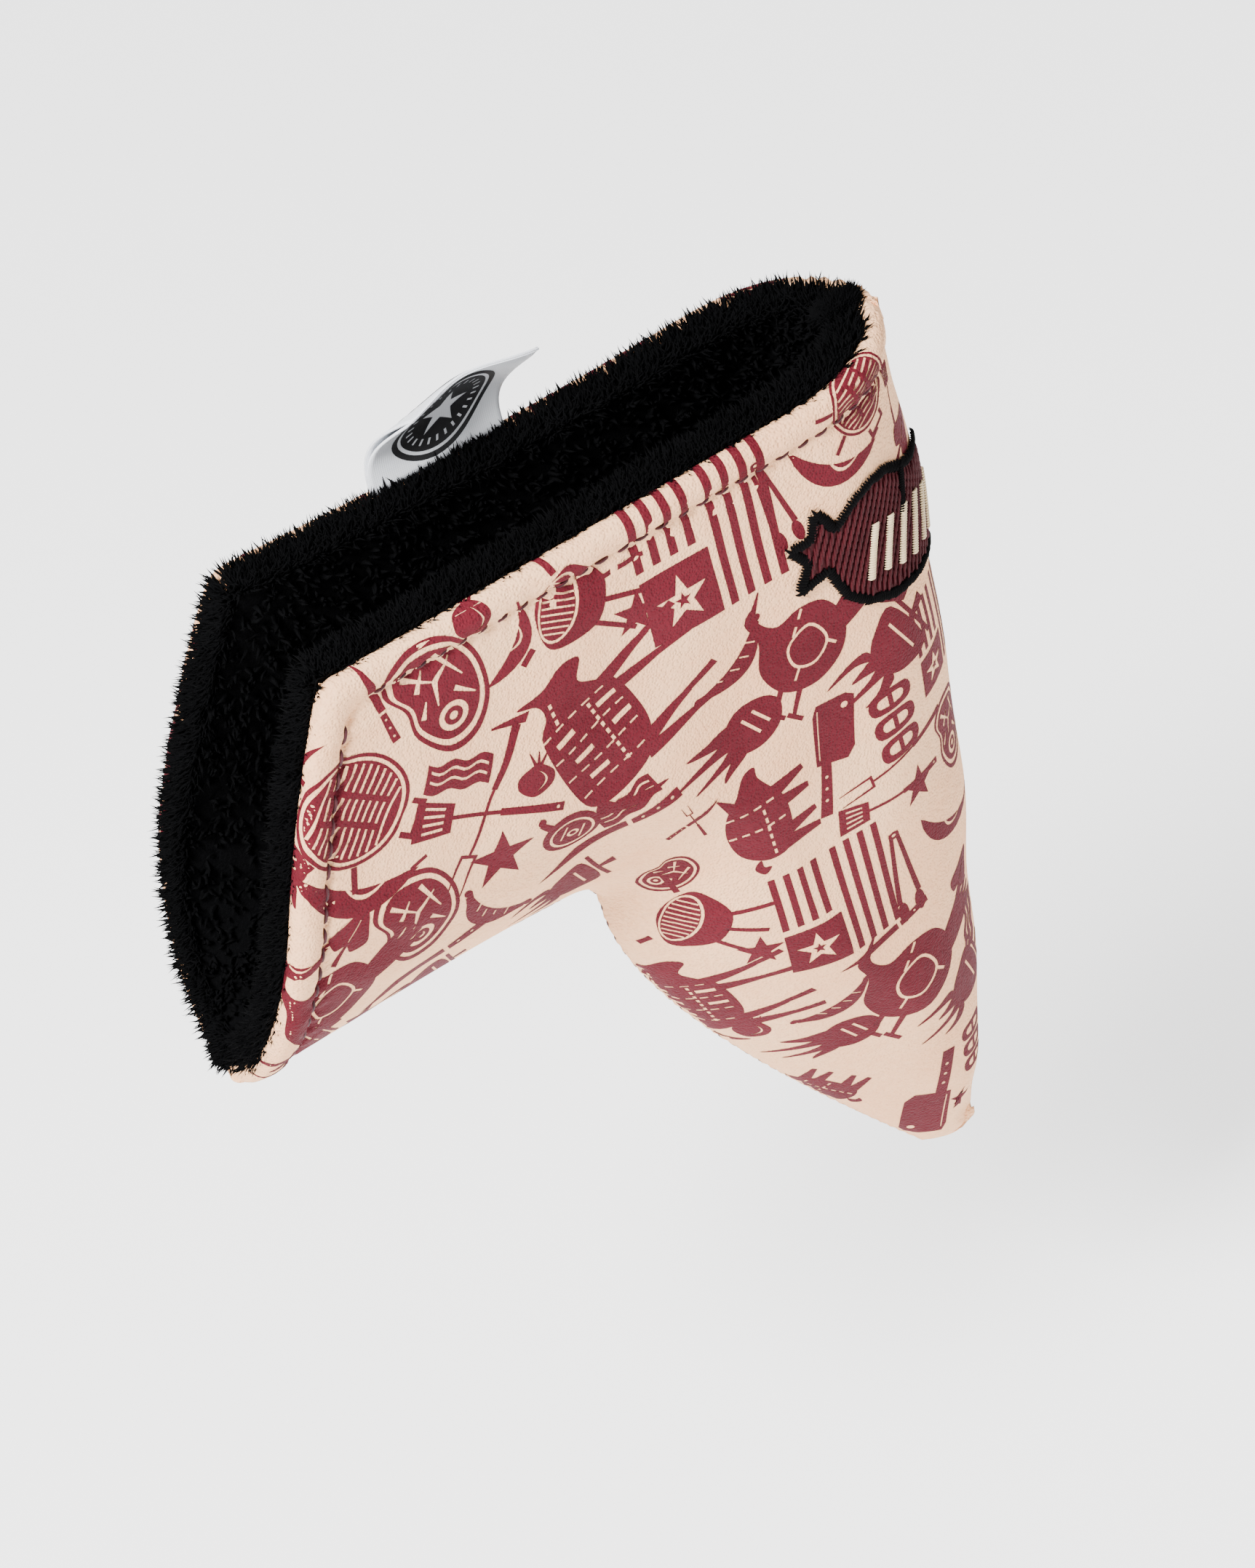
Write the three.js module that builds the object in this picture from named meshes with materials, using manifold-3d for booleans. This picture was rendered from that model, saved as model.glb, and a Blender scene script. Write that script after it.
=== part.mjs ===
// A padded head cover for a blade putter. Seen from the side it is an L: a closed leg that takes the
// blade, and an arm, open along its top and its short end, that lets the shaft out. The leather is one
// piece, folded at the spine and sewn along the inside of the L, and both walls of the arm flex at a
// fold that runs from the end of that seam to the top of the spine. Millimetres, +Z up.
import * as THREE from 'three';
import * as BufferGeometryUtils from 'three/addons/utils/BufferGeometryUtils.js';
import { ParametricGeometry } from 'three/addons/geometries/ParametricGeometry.js';
import Module from 'manifold-3d';

const wasm = await Module();
wasm.setup();

// ---------------------------------------------------------------- driving dimensions

// Outline, seen from the side. x runs along the arm towards the spine, z up the spine from its foot.
const CROWN = new THREE.Vector2(0, 155); // top of the spine
const FOOT = new THREE.Vector2(0, 3); // bottom of the spine
const FREE_CORNER = new THREE.Vector2(-91, 150); // where the rim meets the open end
const KEEL_END = new THREE.Vector2(-110, 83); // where the seam meets the open end
const CROTCH = new THREE.Vector2(-53, 83); // inner corner of the L
const KNEE = new THREE.Vector2(-51.5, 55); // pulls the leg's seam out of a straight line
const TOE = new THREE.Vector2(-9, 2); // where the leg's seam turns under
const TOE_PULL = new THREE.Vector2(-1, -2.5); // rounds the toe
const SPINE_BOW = 3.4;
const RIM_BOW = -1;
const END_BOW = 2.6;
const KEEL_BOW = 0.5;
const CROTCH_ROUND = 6;
const SPINE_SPLIT = 88; // height on the spine that faces the crotch

// Half of the thickness between the two walls.
const HALF_FREE_CORNER = 14.7;
const HALF_KEEL_END = 19.3;
const HALF_CROWN = 13.7;
const HALF_MIDDLE = 15.9;
const HALF_TOE = 8;
const ARM_PINCH = -0.9;

// How far from each closed edge the walls reach their full distance, and how round they turn there.
const SPINE_TURN = 19.8;
const TOE_TURN = 11; // the spine turns tighter where the leg narrows
const TOE_REACH = 60;
const ARM_TURN = 30.8;
const LEG_TURN = 22.9;
const END_TURN = 32.2;
const ROUND = 2;
const WEDGE = 1.37;
const END_WEDGE = 1.62;

// Layers of the wall, measured inwards from the outer face of the leather.
const LEATHER = 1.2;
const PADDING_OUT = 1.8;
const PADDING_IN = 4;
const LINING_OUT = 5;
const LINING_IN = 7.6;
const HEM = 4.5; // depth of the rolled edge round the mouth
const LINING_DROP = 0.5;
const PADDING_TOE = 9; // height above the foot where the padding starts
const LINING_TOE = 14;
const OVERRUN = 10;

// The fold of each wall, as a distance from the line between the seam's end and the crown.
const FOLD_OFFSET = 8;
const FOLD_GAP = 3;

const MAGNET_RADIUS = 5;
const MAGNET_THICK = 1.2;
const MAGNET_PLACES = [new THREE.Vector2(-78.5, 138.5), new THREE.Vector2(-58, 139.5)];
const CLEARANCE = 0.3;

const THREAD = 0.4;
const THREAD_LIFT = 0.85;

const PATCH_LIFT = -0.3;
const PATCH_GAP = 0.5;
const FILL_TOP = -1.1;
const BORDER_TOP = -1.5;
const BORDER_WIDTH = 1.3;

const LABEL_WIDE = 20;
const LABEL_TALL = 13;
const LABEL_THICK = 1.2;
const LABEL_FOOT = new THREE.Vector3(-58, 11.2, 151.8);
const LABEL_SLOPE = 0.04;

// The blade seat: the middle of the leg's mouth, which is the origin of the finished part.
const SEAT = new THREE.Vector3(-25, 0, 83);

// ---------------------------------------------------------------- outline curves

const inwards = (direction) => new THREE.Vector2(-direction.y, direction.x);

function bowed(from, to, bow) {
  const across = inwards(to.clone().sub(from).normalize());
  const pull = from.clone().lerp(to, 0.5).addScaledVector(across, 2 * bow);
  return new THREE.QuadraticBezierCurve(from, pull, to);
}

// A line of points with its running length, which can be read at a fraction and measured from.
class Line {
  constructor(points) {
    this.points = points;
    this.run = [0];
    for (let i = 1; i < points.length; i++) {
      this.run.push(this.run[i - 1] + points[i].distanceTo(points[i - 1]));
    }
  }

  static of(...curves) {
    const points = [];
    for (const curve of curves) {
      const steps = curve instanceof THREE.LineCurve ? 1 : 24;
      points.push(...curve.getPoints(steps).slice(points.length ? 1 : 0));
    }
    return new Line(points);
  }

  at(fraction) {
    const length = fraction * this.run[this.run.length - 1];
    let i = 1;
    while (i < this.run.length - 1 && this.run[i] < length) i++;
    const part = (length - this.run[i - 1]) / (this.run[i] - this.run[i - 1]);
    return this.points[i - 1].clone().lerp(this.points[i], part);
  }

  // The same line moved sideways, to its left, by a distance.
  offset(distance) {
    const moved = this.points.map((point, i) => {
      const before = this.points[Math.max(i - 1, 0)];
      const after = this.points[Math.min(i + 1, this.points.length - 1)];
      const across = inwards(after.clone().sub(before).normalize());
      return point.clone().addScaledVector(across, distance);
    });
    return new Line(moved);
  }

  // Distance of a point from the line, positive on its left.
  distance(x, z) {
    let nearest = Infinity;
    let side = 1;
    const point = new THREE.Vector2(x, z);
    for (let i = 1; i < this.points.length; i++) {
      const start = this.points[i - 1];
      const along = this.points[i].clone().sub(start);
      const away = point.clone().sub(start);
      const part = THREE.MathUtils.clamp(away.dot(along) / along.lengthSq(), 0, 1);
      const gap = away.addScaledVector(along, -part);
      if (gap.length() < nearest - 1e-9) {
        nearest = gap.length();
        side = along.cross(gap) < 0 ? -1 : 1;
      }
    }
    return nearest * side;
  }

  // The fraction at which the line comes nearest to a point.
  fractionNear(target) {
    let best = 0;
    for (let i = 0; i <= 400; i++) {
      if (this.at(i / 400).distanceTo(target) < this.at(best).distanceTo(target)) best = i / 400;
    }
    return best;
  }
}

const keelCurve = bowed(KEEL_END, CROTCH, KEEL_BOW);
const crotchStart = keelCurve.getPoint(1 - CROTCH_ROUND / KEEL_END.distanceTo(CROTCH));
const crotchEnd = CROTCH.clone().lerp(KNEE, CROTCH_ROUND / CROTCH.distanceTo(KNEE));
const beyondEnd = KEEL_END.clone().sub(new THREE.Vector2(OVERRUN, 0));
const beyondCrown = CROWN.clone().add(new THREE.Vector2(0, 2 * OVERRUN));

const keel = Line.of(new THREE.LineCurve(beyondEnd, KEEL_END), bowed(KEEL_END, crotchStart, KEEL_BOW));
const crotch = Line.of(new THREE.QuadraticBezierCurve(crotchStart, CROTCH, crotchEnd));
const leg = Line.of(new THREE.QuadraticBezierCurve(crotchEnd, KNEE, TOE));
const toe = Line.of(new THREE.QuadraticBezierCurve(TOE, TOE_PULL, FOOT));
const spineCurve = bowed(FOOT, CROWN, -SPINE_BOW);
const spine = Line.of(spineCurve, new THREE.LineCurve(CROWN, beyondCrown));
const rimCurve = bowed(FREE_CORNER, CROWN, RIM_BOW);
const seam = new Line([...keel.points, ...crotch.points.slice(1), ...leg.points.slice(1), ...toe.points.slice(1)]);

// ---------------------------------------------------------------- thickness of the cover

const turn = (part, power) => (1 - (1 - THREE.MathUtils.clamp(part, 0, 1)) ** power) ** (1 / power);

function fullHalf(x, z) {
  const up = THREE.MathUtils.clamp(z / CROWN.y, -0.1, 1.2);
  const inLeg = HALF_TOE * (1 - up) * (1 - 2 * up) + 4 * HALF_MIDDLE * up * (1 - up)
    + HALF_CROWN * up * (2 * up - 1);
  const rise = THREE.MathUtils.clamp((z - KEEL_END.y) / (FREE_CORNER.y - KEEL_END.y), -0.3, 1.3);
  const atEnd = THREE.MathUtils.lerp(HALF_KEEL_END, HALF_FREE_CORNER, rise);
  const out = THREE.MathUtils.clamp((x / FREE_CORNER.x - 0.05) / 0.95, 0, 1.2);
  return inLeg * (1 - out) + atEnd * out + 4 * ARM_PINCH * out * (1 - out);
}

// Half of the distance between the walls at a place, for the face a given depth inside the leather.
function half(x, z, depth) {
  const inLeg = 1 / (1 + Math.exp((CROTCH.x - x) / 6));
  const atEnd = THREE.MathUtils.smoothstep(x / KEEL_END.x, 0.45, 1);
  const seamTurn = THREE.MathUtils.lerp(THREE.MathUtils.lerp(ARM_TURN, LEG_TURN, inLeg), END_TURN, atEnd);
  const wedge = THREE.MathUtils.lerp(WEDGE, END_WEDGE, atEnd);
  const fromSeam = (seam.distance(x, z) - depth) / (seamTurn - depth);
  const spineTurn = THREE.MathUtils.lerp(TOE_TURN, SPINE_TURN, THREE.MathUtils.smoothstep(z, 0, TOE_REACH));
  const fromSpine = (spine.distance(x, z) - depth) / (spineTurn - depth);
  return (fullHalf(x, z) - depth) * turn(fromSeam, wedge) * turn(fromSpine, ROUND);
}

// ---------------------------------------------------------------- solids from the outline

const KEEL_STEPS = 9;
const CROWN_STEPS = 6;
const SPINE_STEPS = 6;
const LEG_STEPS = 10;
const TOE_STEPS = 3;
const ROWS = 10;

// Where two lines first cross, as a fraction of each.
function crossing(first, second) {
  let best = { gap: Infinity, a: 1, b: 1 };
  for (let i = 0; i <= 300; i++) {
    const point = first.at(i / 300);
    const b = second.fractionNear(point);
    const gap = second.at(b).distanceTo(point);
    if (gap < best.gap) best = { gap, a: i / 300, b };
  }
  return best;
}

// Straight columns from the seam up to the rim or across to the spine, at a depth in the wall. The
// rim is moved up by rise and the open end outwards by reach.
function columns(depth, rise, reach) {
  const keelLine = keel.offset(depth);
  const crotchLine = crotch.offset(depth);
  const legLine = leg.offset(depth);
  const spineLine = spine.offset(depth);
  const list = [];
  const crownX = spineLine.at(spineLine.fractionNear(CROWN)).x;
  const rimAt = (x) => rimCurve.getPoint((x - FREE_CORNER.x) / (CROWN.x - FREE_CORNER.x)).y + rise;
  const rimStart = FREE_CORNER.x - reach;
  const rimAboveCrotch = CROTCH.x - 6;
  const keelStart = keelLine.fractionNear(new THREE.Vector2(KEEL_END.x - reach, KEEL_END.y + depth));
  for (let i = 0; i <= KEEL_STEPS; i++) {
    const part = i / KEEL_STEPS;
    const x = THREE.MathUtils.lerp(rimStart, rimAboveCrotch, part);
    const low = keelLine.at(THREE.MathUtils.lerp(keelStart, 1, part));
    list.push({ low, high: new THREE.Vector2(x, rimAt(x)), bow: END_BOW * (1 - part), open: true });
  }
  const turns = CROWN_STEPS + SPINE_STEPS;
  for (let i = 1; i <= CROWN_STEPS; i++) {
    const x = THREE.MathUtils.lerp(rimAboveCrotch, crownX, Math.sin((i / CROWN_STEPS) * Math.PI / 2));
    list.push({ low: crotchLine.at(i / turns), high: new THREE.Vector2(x, rimAt(x)), bow: 0, open: true });
  }
  const crownPart = spineLine.fractionNear(new THREE.Vector2(crownX, rimAt(crownX)));
  const splitPart = spineLine.fractionNear(new THREE.Vector2(0, SPINE_SPLIT));
  for (let i = 1; i <= SPINE_STEPS; i++) {
    const high = spineLine.at(THREE.MathUtils.lerp(crownPart, splitPart, i / SPINE_STEPS));
    list.push({ low: crotchLine.at((CROWN_STEPS + i) / turns), high, bow: 0, open: false });
  }
  const end = depth > 0 ? crossing(legLine, spineLine) : { a: 1, b: spineLine.fractionNear(FOOT) };
  const toeLine = toe.offset(depth);
  const reachToe = depth > 0 ? 0 : TOE_STEPS;
  const total = LEG_STEPS + reachToe;
  for (let i = 1; i <= total; i++) {
    const high = spineLine.at(THREE.MathUtils.lerp(splitPart, end.b, i / total));
    const low = i <= LEG_STEPS ? legLine.at((end.a * i) / LEG_STEPS) : toeLine.at((i - LEG_STEPS) / TOE_STEPS);
    list.push({ low, high, bow: 0, open: false });
  }
  const last = list[list.length - 1];
  last.low = last.high.clone();
  return list;
}

// One closed body between the two walls, at a depth inside the leather.
function body(depth, rise, reach) {
  const list = columns(depth, rise, reach);
  const stacks = 2 * ROWS + 1;
  const place = (u, v, target) => {
    const index = Math.round(u * list.length) - 1;
    const column = list[Math.max(index, 0)];
    const row = Math.round(v * stacks);
    const front = row <= ROWS;
    const step = front ? ROWS - row : row - ROWS;
    const up = row === stacks ? 1 : (1 - Math.cos((Math.PI * step) / ROWS)) / 2;
    const point = column.low.clone().lerp(column.high, up);
    const x = point.x - 4 * column.bow * up * (1 - up);
    const closed = up === 0 || (up === 1 && !column.open) || index < 0 || column.low.equals(column.high);
    const wide = closed ? 0 : half(x, point.y, depth);
    target.set(x, front || row === stacks ? -wide : wide, point.y);
  };
  return solid(new ParametricGeometry(place, list.length, stacks));
}

// ---------------------------------------------------------------- joining and cutting

function solid(geometry) {
  geometry.deleteAttribute('normal');
  geometry.deleteAttribute('uv');
  const merged = BufferGeometryUtils.mergeVertices(geometry, 1e-4);
  const corners = Array.from(merged.index.array);
  const kept = [];
  for (let i = 0; i < corners.length; i += 3) {
    const [a, b, c] = corners.slice(i, i + 3);
    if (a !== b && b !== c && c !== a) kept.push(a, b, c);
  }
  const make = (order) => new wasm.Manifold(new wasm.Mesh({
    numProp: 3,
    vertProperties: new Float32Array(merged.attributes.position.array),
    triVerts: new Uint32Array(order),
  }));
  const made = make(kept);
  return made.volume() < 0 ? make(kept.reverse()) : made;
}

function join(parts) {
  return parts.reduce((whole, part) => whole.add(part));
}

function toGeometry(made) {
  const mesh = made.getMesh();
  const geometry = new THREE.BufferGeometry();
  geometry.setAttribute('position', new THREE.BufferAttribute(new Float32Array(mesh.vertProperties), 3));
  geometry.setIndex(new THREE.BufferAttribute(new Uint32Array(mesh.triVerts), 1));
  geometry.computeVertexNormals();
  return geometry;
}

// ---------------------------------------------------------------- the fold of each wall

const foldAlong = CROWN.clone().sub(KEEL_END).normalize();
const foldAcross = inwards(foldAlong);
const foldMiddle = KEEL_END.clone().lerp(CROWN, 0.5).addScaledVector(foldAcross, FOLD_OFFSET);

// Everything beyond the fold on one side of the middle plane, starting at a distance from the fold.
function beyondFold(side, start) {
  const reach = 120;
  const box = new THREE.BoxGeometry(3 * reach, reach, reach);
  box.rotateY(-Math.atan2(foldAlong.y, foldAlong.x));
  const centre = foldMiddle.clone().addScaledVector(foldAcross, start + reach / 2);
  box.translate(centre.x, (side * reach) / 2, centre.y);
  return solid(box);
}

const FRONT = -1;
const BACK = 1;
const SIDES = { front: FRONT, back: BACK };

function splitLayer(layer) {
  const pieces = { pocket: layer };
  for (const [name, side] of Object.entries(SIDES)) {
    pieces[name] = layer.intersect(beyondFold(side, FOLD_GAP / 2));
    pieces.pocket = pieces.pocket.subtract(beyondFold(side, -FOLD_GAP / 2));
  }
  return pieces;
}

// ---------------------------------------------------------------- layers of the wall

function leatherLayer() {
  const outside = body(0, 0, 0);
  const behindHem = body(LEATHER, -HEM, -HEM);
  const mouth = body(PADDING_IN, OVERRUN, OVERRUN);
  return outside.subtract(behindHem).subtract(mouth);
}

// Everything below a height.
function below(height) {
  const reach = 300;
  const box = new THREE.BoxGeometry(reach, reach, reach);
  box.translate(0, 0, height - reach / 2);
  return solid(box);
}

function paddingLayer() {
  const outside = body(PADDING_OUT, -HEM - CLEARANCE, -HEM - CLEARANCE);
  return outside.subtract(body(PADDING_IN, OVERRUN, OVERRUN)).subtract(below(PADDING_TOE));
}

function liningLayer() {
  const outside = body(LINING_OUT, -LINING_DROP, -LINING_DROP);
  return outside.subtract(body(LINING_IN, OVERRUN, OVERRUN)).subtract(below(LINING_TOE));
}

// ---------------------------------------------------------------- magnets, threads, patch and label

function magnetDisc(place, side, spare) {
  const depth = (PADDING_OUT + PADDING_IN) / 2;
  const disc = new THREE.CylinderGeometry(MAGNET_RADIUS + spare, MAGNET_RADIUS + spare, MAGNET_THICK, 24);
  disc.translate(place.x, side * (half(place.x, place.y, 0) - depth), place.y);
  return disc;
}

// The hole for a magnet goes right through the padding.
function magnetHole(place, side) {
  const hole = magnetDisc(place, side, CLEARANCE);
  const middle = side * (half(place.x, place.y, 0) - (PADDING_OUT + PADDING_IN) / 2);
  hole.translate(0, -middle, 0);
  hole.scale(1, 6, 1);
  hole.translate(0, middle, 0);
  return solid(hole);
}

function thread(points) {
  const path = new THREE.CatmullRomCurve3(points);
  const section = new THREE.Shape();
  section.absarc(0, 0, THREAD, 0, 2 * Math.PI);
  return new THREE.ExtrudeGeometry(section, {
    extrudePath: path, steps: 2 * points.length, curveSegments: 3, bevelEnabled: false,
  });
}

const onWall = (place, side) =>
  new THREE.Vector3(place.x, side * half(place.x, place.y, -THREAD_LIFT), place.y);

// The topstitching of one wall, up the open end, across the corner and along the rim.
function wallStitching(side) {
  const places = [];
  const endLow = KEEL_END.clone().lerp(FREE_CORNER, 0.3).add(new THREE.Vector2(HEM - END_BOW, 0));
  const endHigh = KEEL_END.clone().lerp(FREE_CORNER, 0.9).add(new THREE.Vector2(HEM - END_BOW / 2, 0));
  for (let i = 0; i <= 5; i++) places.push(endLow.clone().lerp(endHigh, i / 5));
  const rimNear = new THREE.Vector2(FREE_CORNER.x + 2.4 * HEM, FREE_CORNER.y - HEM + 1);
  const rimFar = new THREE.Vector2(-33, CROWN.y - HEM - 3);
  for (let i = 0; i <= 7; i++) places.push(rimNear.clone().lerp(rimFar, i / 7));
  return thread(places.map((place) => onWall(place, side)));
}

// The topstitching that runs round the top of the spine from one wall to the other.
function crownStitching() {
  const points = [];
  const start = -21;
  const height = CROWN.y - HEM - 1.5;
  const end = spineCurve.getPoint(0.97).x + THREAD_LIFT;
  for (let i = -8; i <= 8; i++) {
    const x = THREE.MathUtils.lerp(end, start, 1 - Math.cos((Math.abs(i) / 8) * Math.PI / 2));
    const wide = i === 0 ? 0 : half(x, height, -THREAD_LIFT);
    points.push(new THREE.Vector3(x, Math.sign(i) * wide, height));
  }
  return thread(points);
}

// The embroidered sausage lies across the spine, with a tied end on each wall.
const TIED_END = [[-17.5, 124], [-19, 129], [-24, 127], [-21.5, 131.5], [-24.5, 134.5], [-20.5, 134], [-20, 138.5]];

function sausageOutline(shrink, tied) {
  const shape = new THREE.Shape();
  shape.moveTo(12, 118 + shrink);
  shape.lineTo(-6, 118 + shrink);
  shape.quadraticCurveTo(-14 + shrink, 119 + shrink, -17.5 + shrink, 125);
  if (tied) TIED_END.forEach(([x, z]) => shape.lineTo(x, z));
  shape.lineTo(-17 + shrink, 134 - shrink / 2);
  shape.quadraticCurveTo(-12 + shrink, 139 - shrink, -5, 139.5 - shrink);
  shape.lineTo(12, 139.5 - shrink);
  shape.closePath();
  return shape;
}

function throughBothWalls(shape) {
  const prism = new THREE.ExtrudeGeometry(shape, { depth: 80, bevelEnabled: false, curveSegments: 6 });
  prism.rotateX(Math.PI / 2);
  prism.translate(0, 40, 0);
  return solid(prism);
}

function raised(top) {
  return body(top, OVERRUN, OVERRUN).subtract(body(PATCH_LIFT, 2 * OVERRUN, 2 * OVERRUN));
}

function patchPieces() {
  const whole = throughBothWalls(sausageOutline(0, true));
  const inside = throughBothWalls(sausageOutline(BORDER_WIDTH, false));
  const insideSmaller = throughBothWalls(sausageOutline(BORDER_WIDTH + PATCH_GAP, false));
  return {
    border: raised(BORDER_TOP).intersect(whole.subtract(inside)),
    fill: raised(FILL_TOP).intersect(insideSmaller),
  };
}

function labelTab() {
  const tab = new THREE.BoxGeometry(LABEL_WIDE, LABEL_THICK, LABEL_TALL);
  tab.translate(0, 0, LABEL_TALL / 2);
  tab.rotateY(-LABEL_SLOPE);
  tab.translate(LABEL_FOOT.x, LABEL_FOOT.y, LABEL_FOOT.z);
  return tab;
}

// ---------------------------------------------------------------- finishes and assembly

const finish = (color, roughness, metalness = 0) => new THREE.MeshStandardMaterial({ color, roughness, metalness });
const printedLeather = finish(0xeacfb9, 0.6);
const foam = finish(0x4a4a4c, 0.95);
const plush = finish(0x060606, 1);
const stitchThread = finish(0x4a1d24, 0.8);
const steel = finish(0xb8bcc0, 0.3, 1);
const redThread = finish(0x6a2630, 0.7);
const blackThread = finish(0x0b0a0b, 0.7);
const satin = finish(0xe4e6ea, 0.4);

const cover = new THREE.Group();
cover.position.copy(SEAT).negate();

function place(name, geometry, material) {
  const mesh = new THREE.Mesh(geometry, material);
  mesh.name = name;
  cover.add(mesh);
}

const leather = splitLayer(leatherLayer());
const padding = splitLayer(paddingLayer());
const lining = splitLayer(liningLayer());

place('shell_pocket', toGeometry(leather.pocket), printedLeather);
place('padding_pocket', toGeometry(padding.pocket), foam);
place('lining_pocket', toGeometry(lining.pocket), plush);
place('topstitch_crown', crownStitching(), stitchThread);

for (const [name, side] of Object.entries(SIDES)) {
  const holes = join(MAGNET_PLACES.map((spot) => magnetHole(spot, side)));
  place(`shell_${name}_wall`, toGeometry(leather[name]), printedLeather);
  place(`padding_${name}_wall`, toGeometry(padding[name].subtract(holes)), foam);
  place(`lining_${name}_wall`, toGeometry(lining[name]), plush);
  place(`topstitch_${name}_wall`, wallStitching(side), stitchThread);
  MAGNET_PLACES.forEach((spot, i) => place(`magnet_${name}_${i + 1}`, magnetDisc(spot, side, 0), steel));
}

const patch = patchPieces();
place('patch_border', toGeometry(patch.border), blackThread);
place('patch_fill', toGeometry(patch.fill), redThread);
place('label_tab', labelTab(), satin);

export default cover;
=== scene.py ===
"""Padded head cover for a blade putter: printed leather over foam and plush, sewn and embroidered."""

import logging
import math
from dataclasses import dataclass
from enum import Enum

import bmesh
import bpy
import numpy as np
from mathutils import Matrix, Vector
from mathutils.geometry import delaunay_2d_cdt

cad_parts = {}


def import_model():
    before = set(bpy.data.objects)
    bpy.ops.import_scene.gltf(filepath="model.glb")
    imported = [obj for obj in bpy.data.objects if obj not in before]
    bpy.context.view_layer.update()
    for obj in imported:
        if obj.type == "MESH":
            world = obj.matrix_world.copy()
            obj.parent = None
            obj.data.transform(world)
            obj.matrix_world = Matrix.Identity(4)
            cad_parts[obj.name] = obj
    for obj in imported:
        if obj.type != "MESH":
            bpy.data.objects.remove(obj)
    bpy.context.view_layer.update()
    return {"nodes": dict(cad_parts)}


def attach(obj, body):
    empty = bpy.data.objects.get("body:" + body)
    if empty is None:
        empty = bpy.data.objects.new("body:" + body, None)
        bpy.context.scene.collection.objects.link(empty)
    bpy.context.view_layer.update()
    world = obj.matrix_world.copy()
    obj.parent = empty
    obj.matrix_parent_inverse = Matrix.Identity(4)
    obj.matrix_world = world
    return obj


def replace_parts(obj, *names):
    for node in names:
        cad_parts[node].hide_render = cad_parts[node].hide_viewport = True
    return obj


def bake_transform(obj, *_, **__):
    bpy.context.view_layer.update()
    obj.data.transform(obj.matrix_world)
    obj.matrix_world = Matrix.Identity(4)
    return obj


LOG = logging.getLogger("head_cover")
Array = np.ndarray
MM = 0.001
SEAT = np.array([-25.0, 0.0, 83.0])


class Side(Enum):
    """The two walls of the folded leather, by the sign of y."""

    FRONT = -1
    BACK = 1

    @property
    def body(self) -> str:
        """The moving wall on this side."""
        return f"{self.name.lower()}_wall"


def smoothstep(value: Array, low: float, high: float) -> Array:
    """A soft step from 0 at low to 1 at high."""
    part = np.clip((value - low) / (high - low), 0, 1)
    return part * part * (3 - 2 * part)


def unit(vectors: Array) -> Array:
    """Vectors of length one."""
    return vectors / np.maximum(np.linalg.norm(vectors, axis=-1, keepdims=True), 1e-9)


def bezier(start: tuple, pull: tuple, end: tuple, steps: int = 24) -> Array:
    """Points of a quadratic curve.

    Args:
        start: First point.
        pull: Control point.
        end: Last point.
        steps: Number of segments.

    Returns:
        An array of steps + 1 points.
    """
    t = np.linspace(0, 1, steps + 1)[:, None]
    return (1 - t) ** 2 * np.array(start) + 2 * t * (1 - t) * np.array(pull) + t**2 * np.array(end)


def bowed(start: tuple, end: tuple, bow: float) -> Array:
    """A line between two points, bowed to its left by a distance."""
    first, last = np.array(start, float), np.array(end, float)
    along = (last - first) / np.linalg.norm(last - first)
    pull = (first + last) / 2 + 2 * bow * np.array([-along[1], along[0]])
    return bezier(first, pull, last)


class Polyline:
    """A line of points that can be read at a fraction and measured from."""

    def __init__(self, points: Array) -> None:
        """Keeps the points and their running length."""
        self.points = np.asarray(points, float)
        steps = np.linalg.norm(np.diff(self.points, axis=0), axis=1)
        self.run = np.concatenate([[0], np.cumsum(steps)])

    def at(self, fraction: Array) -> Array:
        """Points at fractions of the length."""
        where = np.asarray(fraction) * self.run[-1]
        return np.stack([np.interp(where, self.run, self.points[:, k]) for k in (0, 1)], -1)

    def normal(self, fraction: Array) -> Array:
        """The direction to the left of the line at fractions of its length."""
        along = self.at(np.clip(fraction + 0.004, 0, 1)) - self.at(np.clip(fraction - 0.004, 0, 1))
        along /= np.linalg.norm(along, axis=-1, keepdims=True)
        return np.stack([-along[..., 1], along[..., 0]], -1)

    def fraction_near(self, target: tuple) -> float:
        """The fraction at which the line comes nearest to a point."""
        parts = np.linspace(0, 1, 1201)
        return float(parts[np.argmin(np.linalg.norm(self.at(parts) - np.array(target), axis=1))])

    def measure(self, places: Array) -> tuple[Array, Array]:
        """Signed distances from the line, positive on its left.

        Args:
            places: Points, one row each.

        Returns:
            The distances, and the unit directions in which they grow.
        """
        best = np.full(len(places), np.inf)
        signed = np.zeros(len(places))
        away = np.zeros_like(places)
        for start, end in zip(self.points[:-1], self.points[1:]):
            along = end - start
            gap = places - start
            part = np.clip(gap @ along / (along @ along), 0, 1)[:, None]
            gap = gap - part * along
            length = np.linalg.norm(gap, axis=1)
            side = np.where(along[0] * gap[:, 1] - along[1] * gap[:, 0] < 0, -1, 1)
            near = length < best - 1e-9
            best[near], signed[near] = length[near], (length * side)[near]
            across = np.array([-along[1], along[0]]) / np.linalg.norm(along)
            unit = np.where(
                length[:, None] > 1e-6, gap * side[:, None] / np.maximum(length, 1e-6)[:, None], across
            )
            away[near] = unit[near]
        return signed, away


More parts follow.
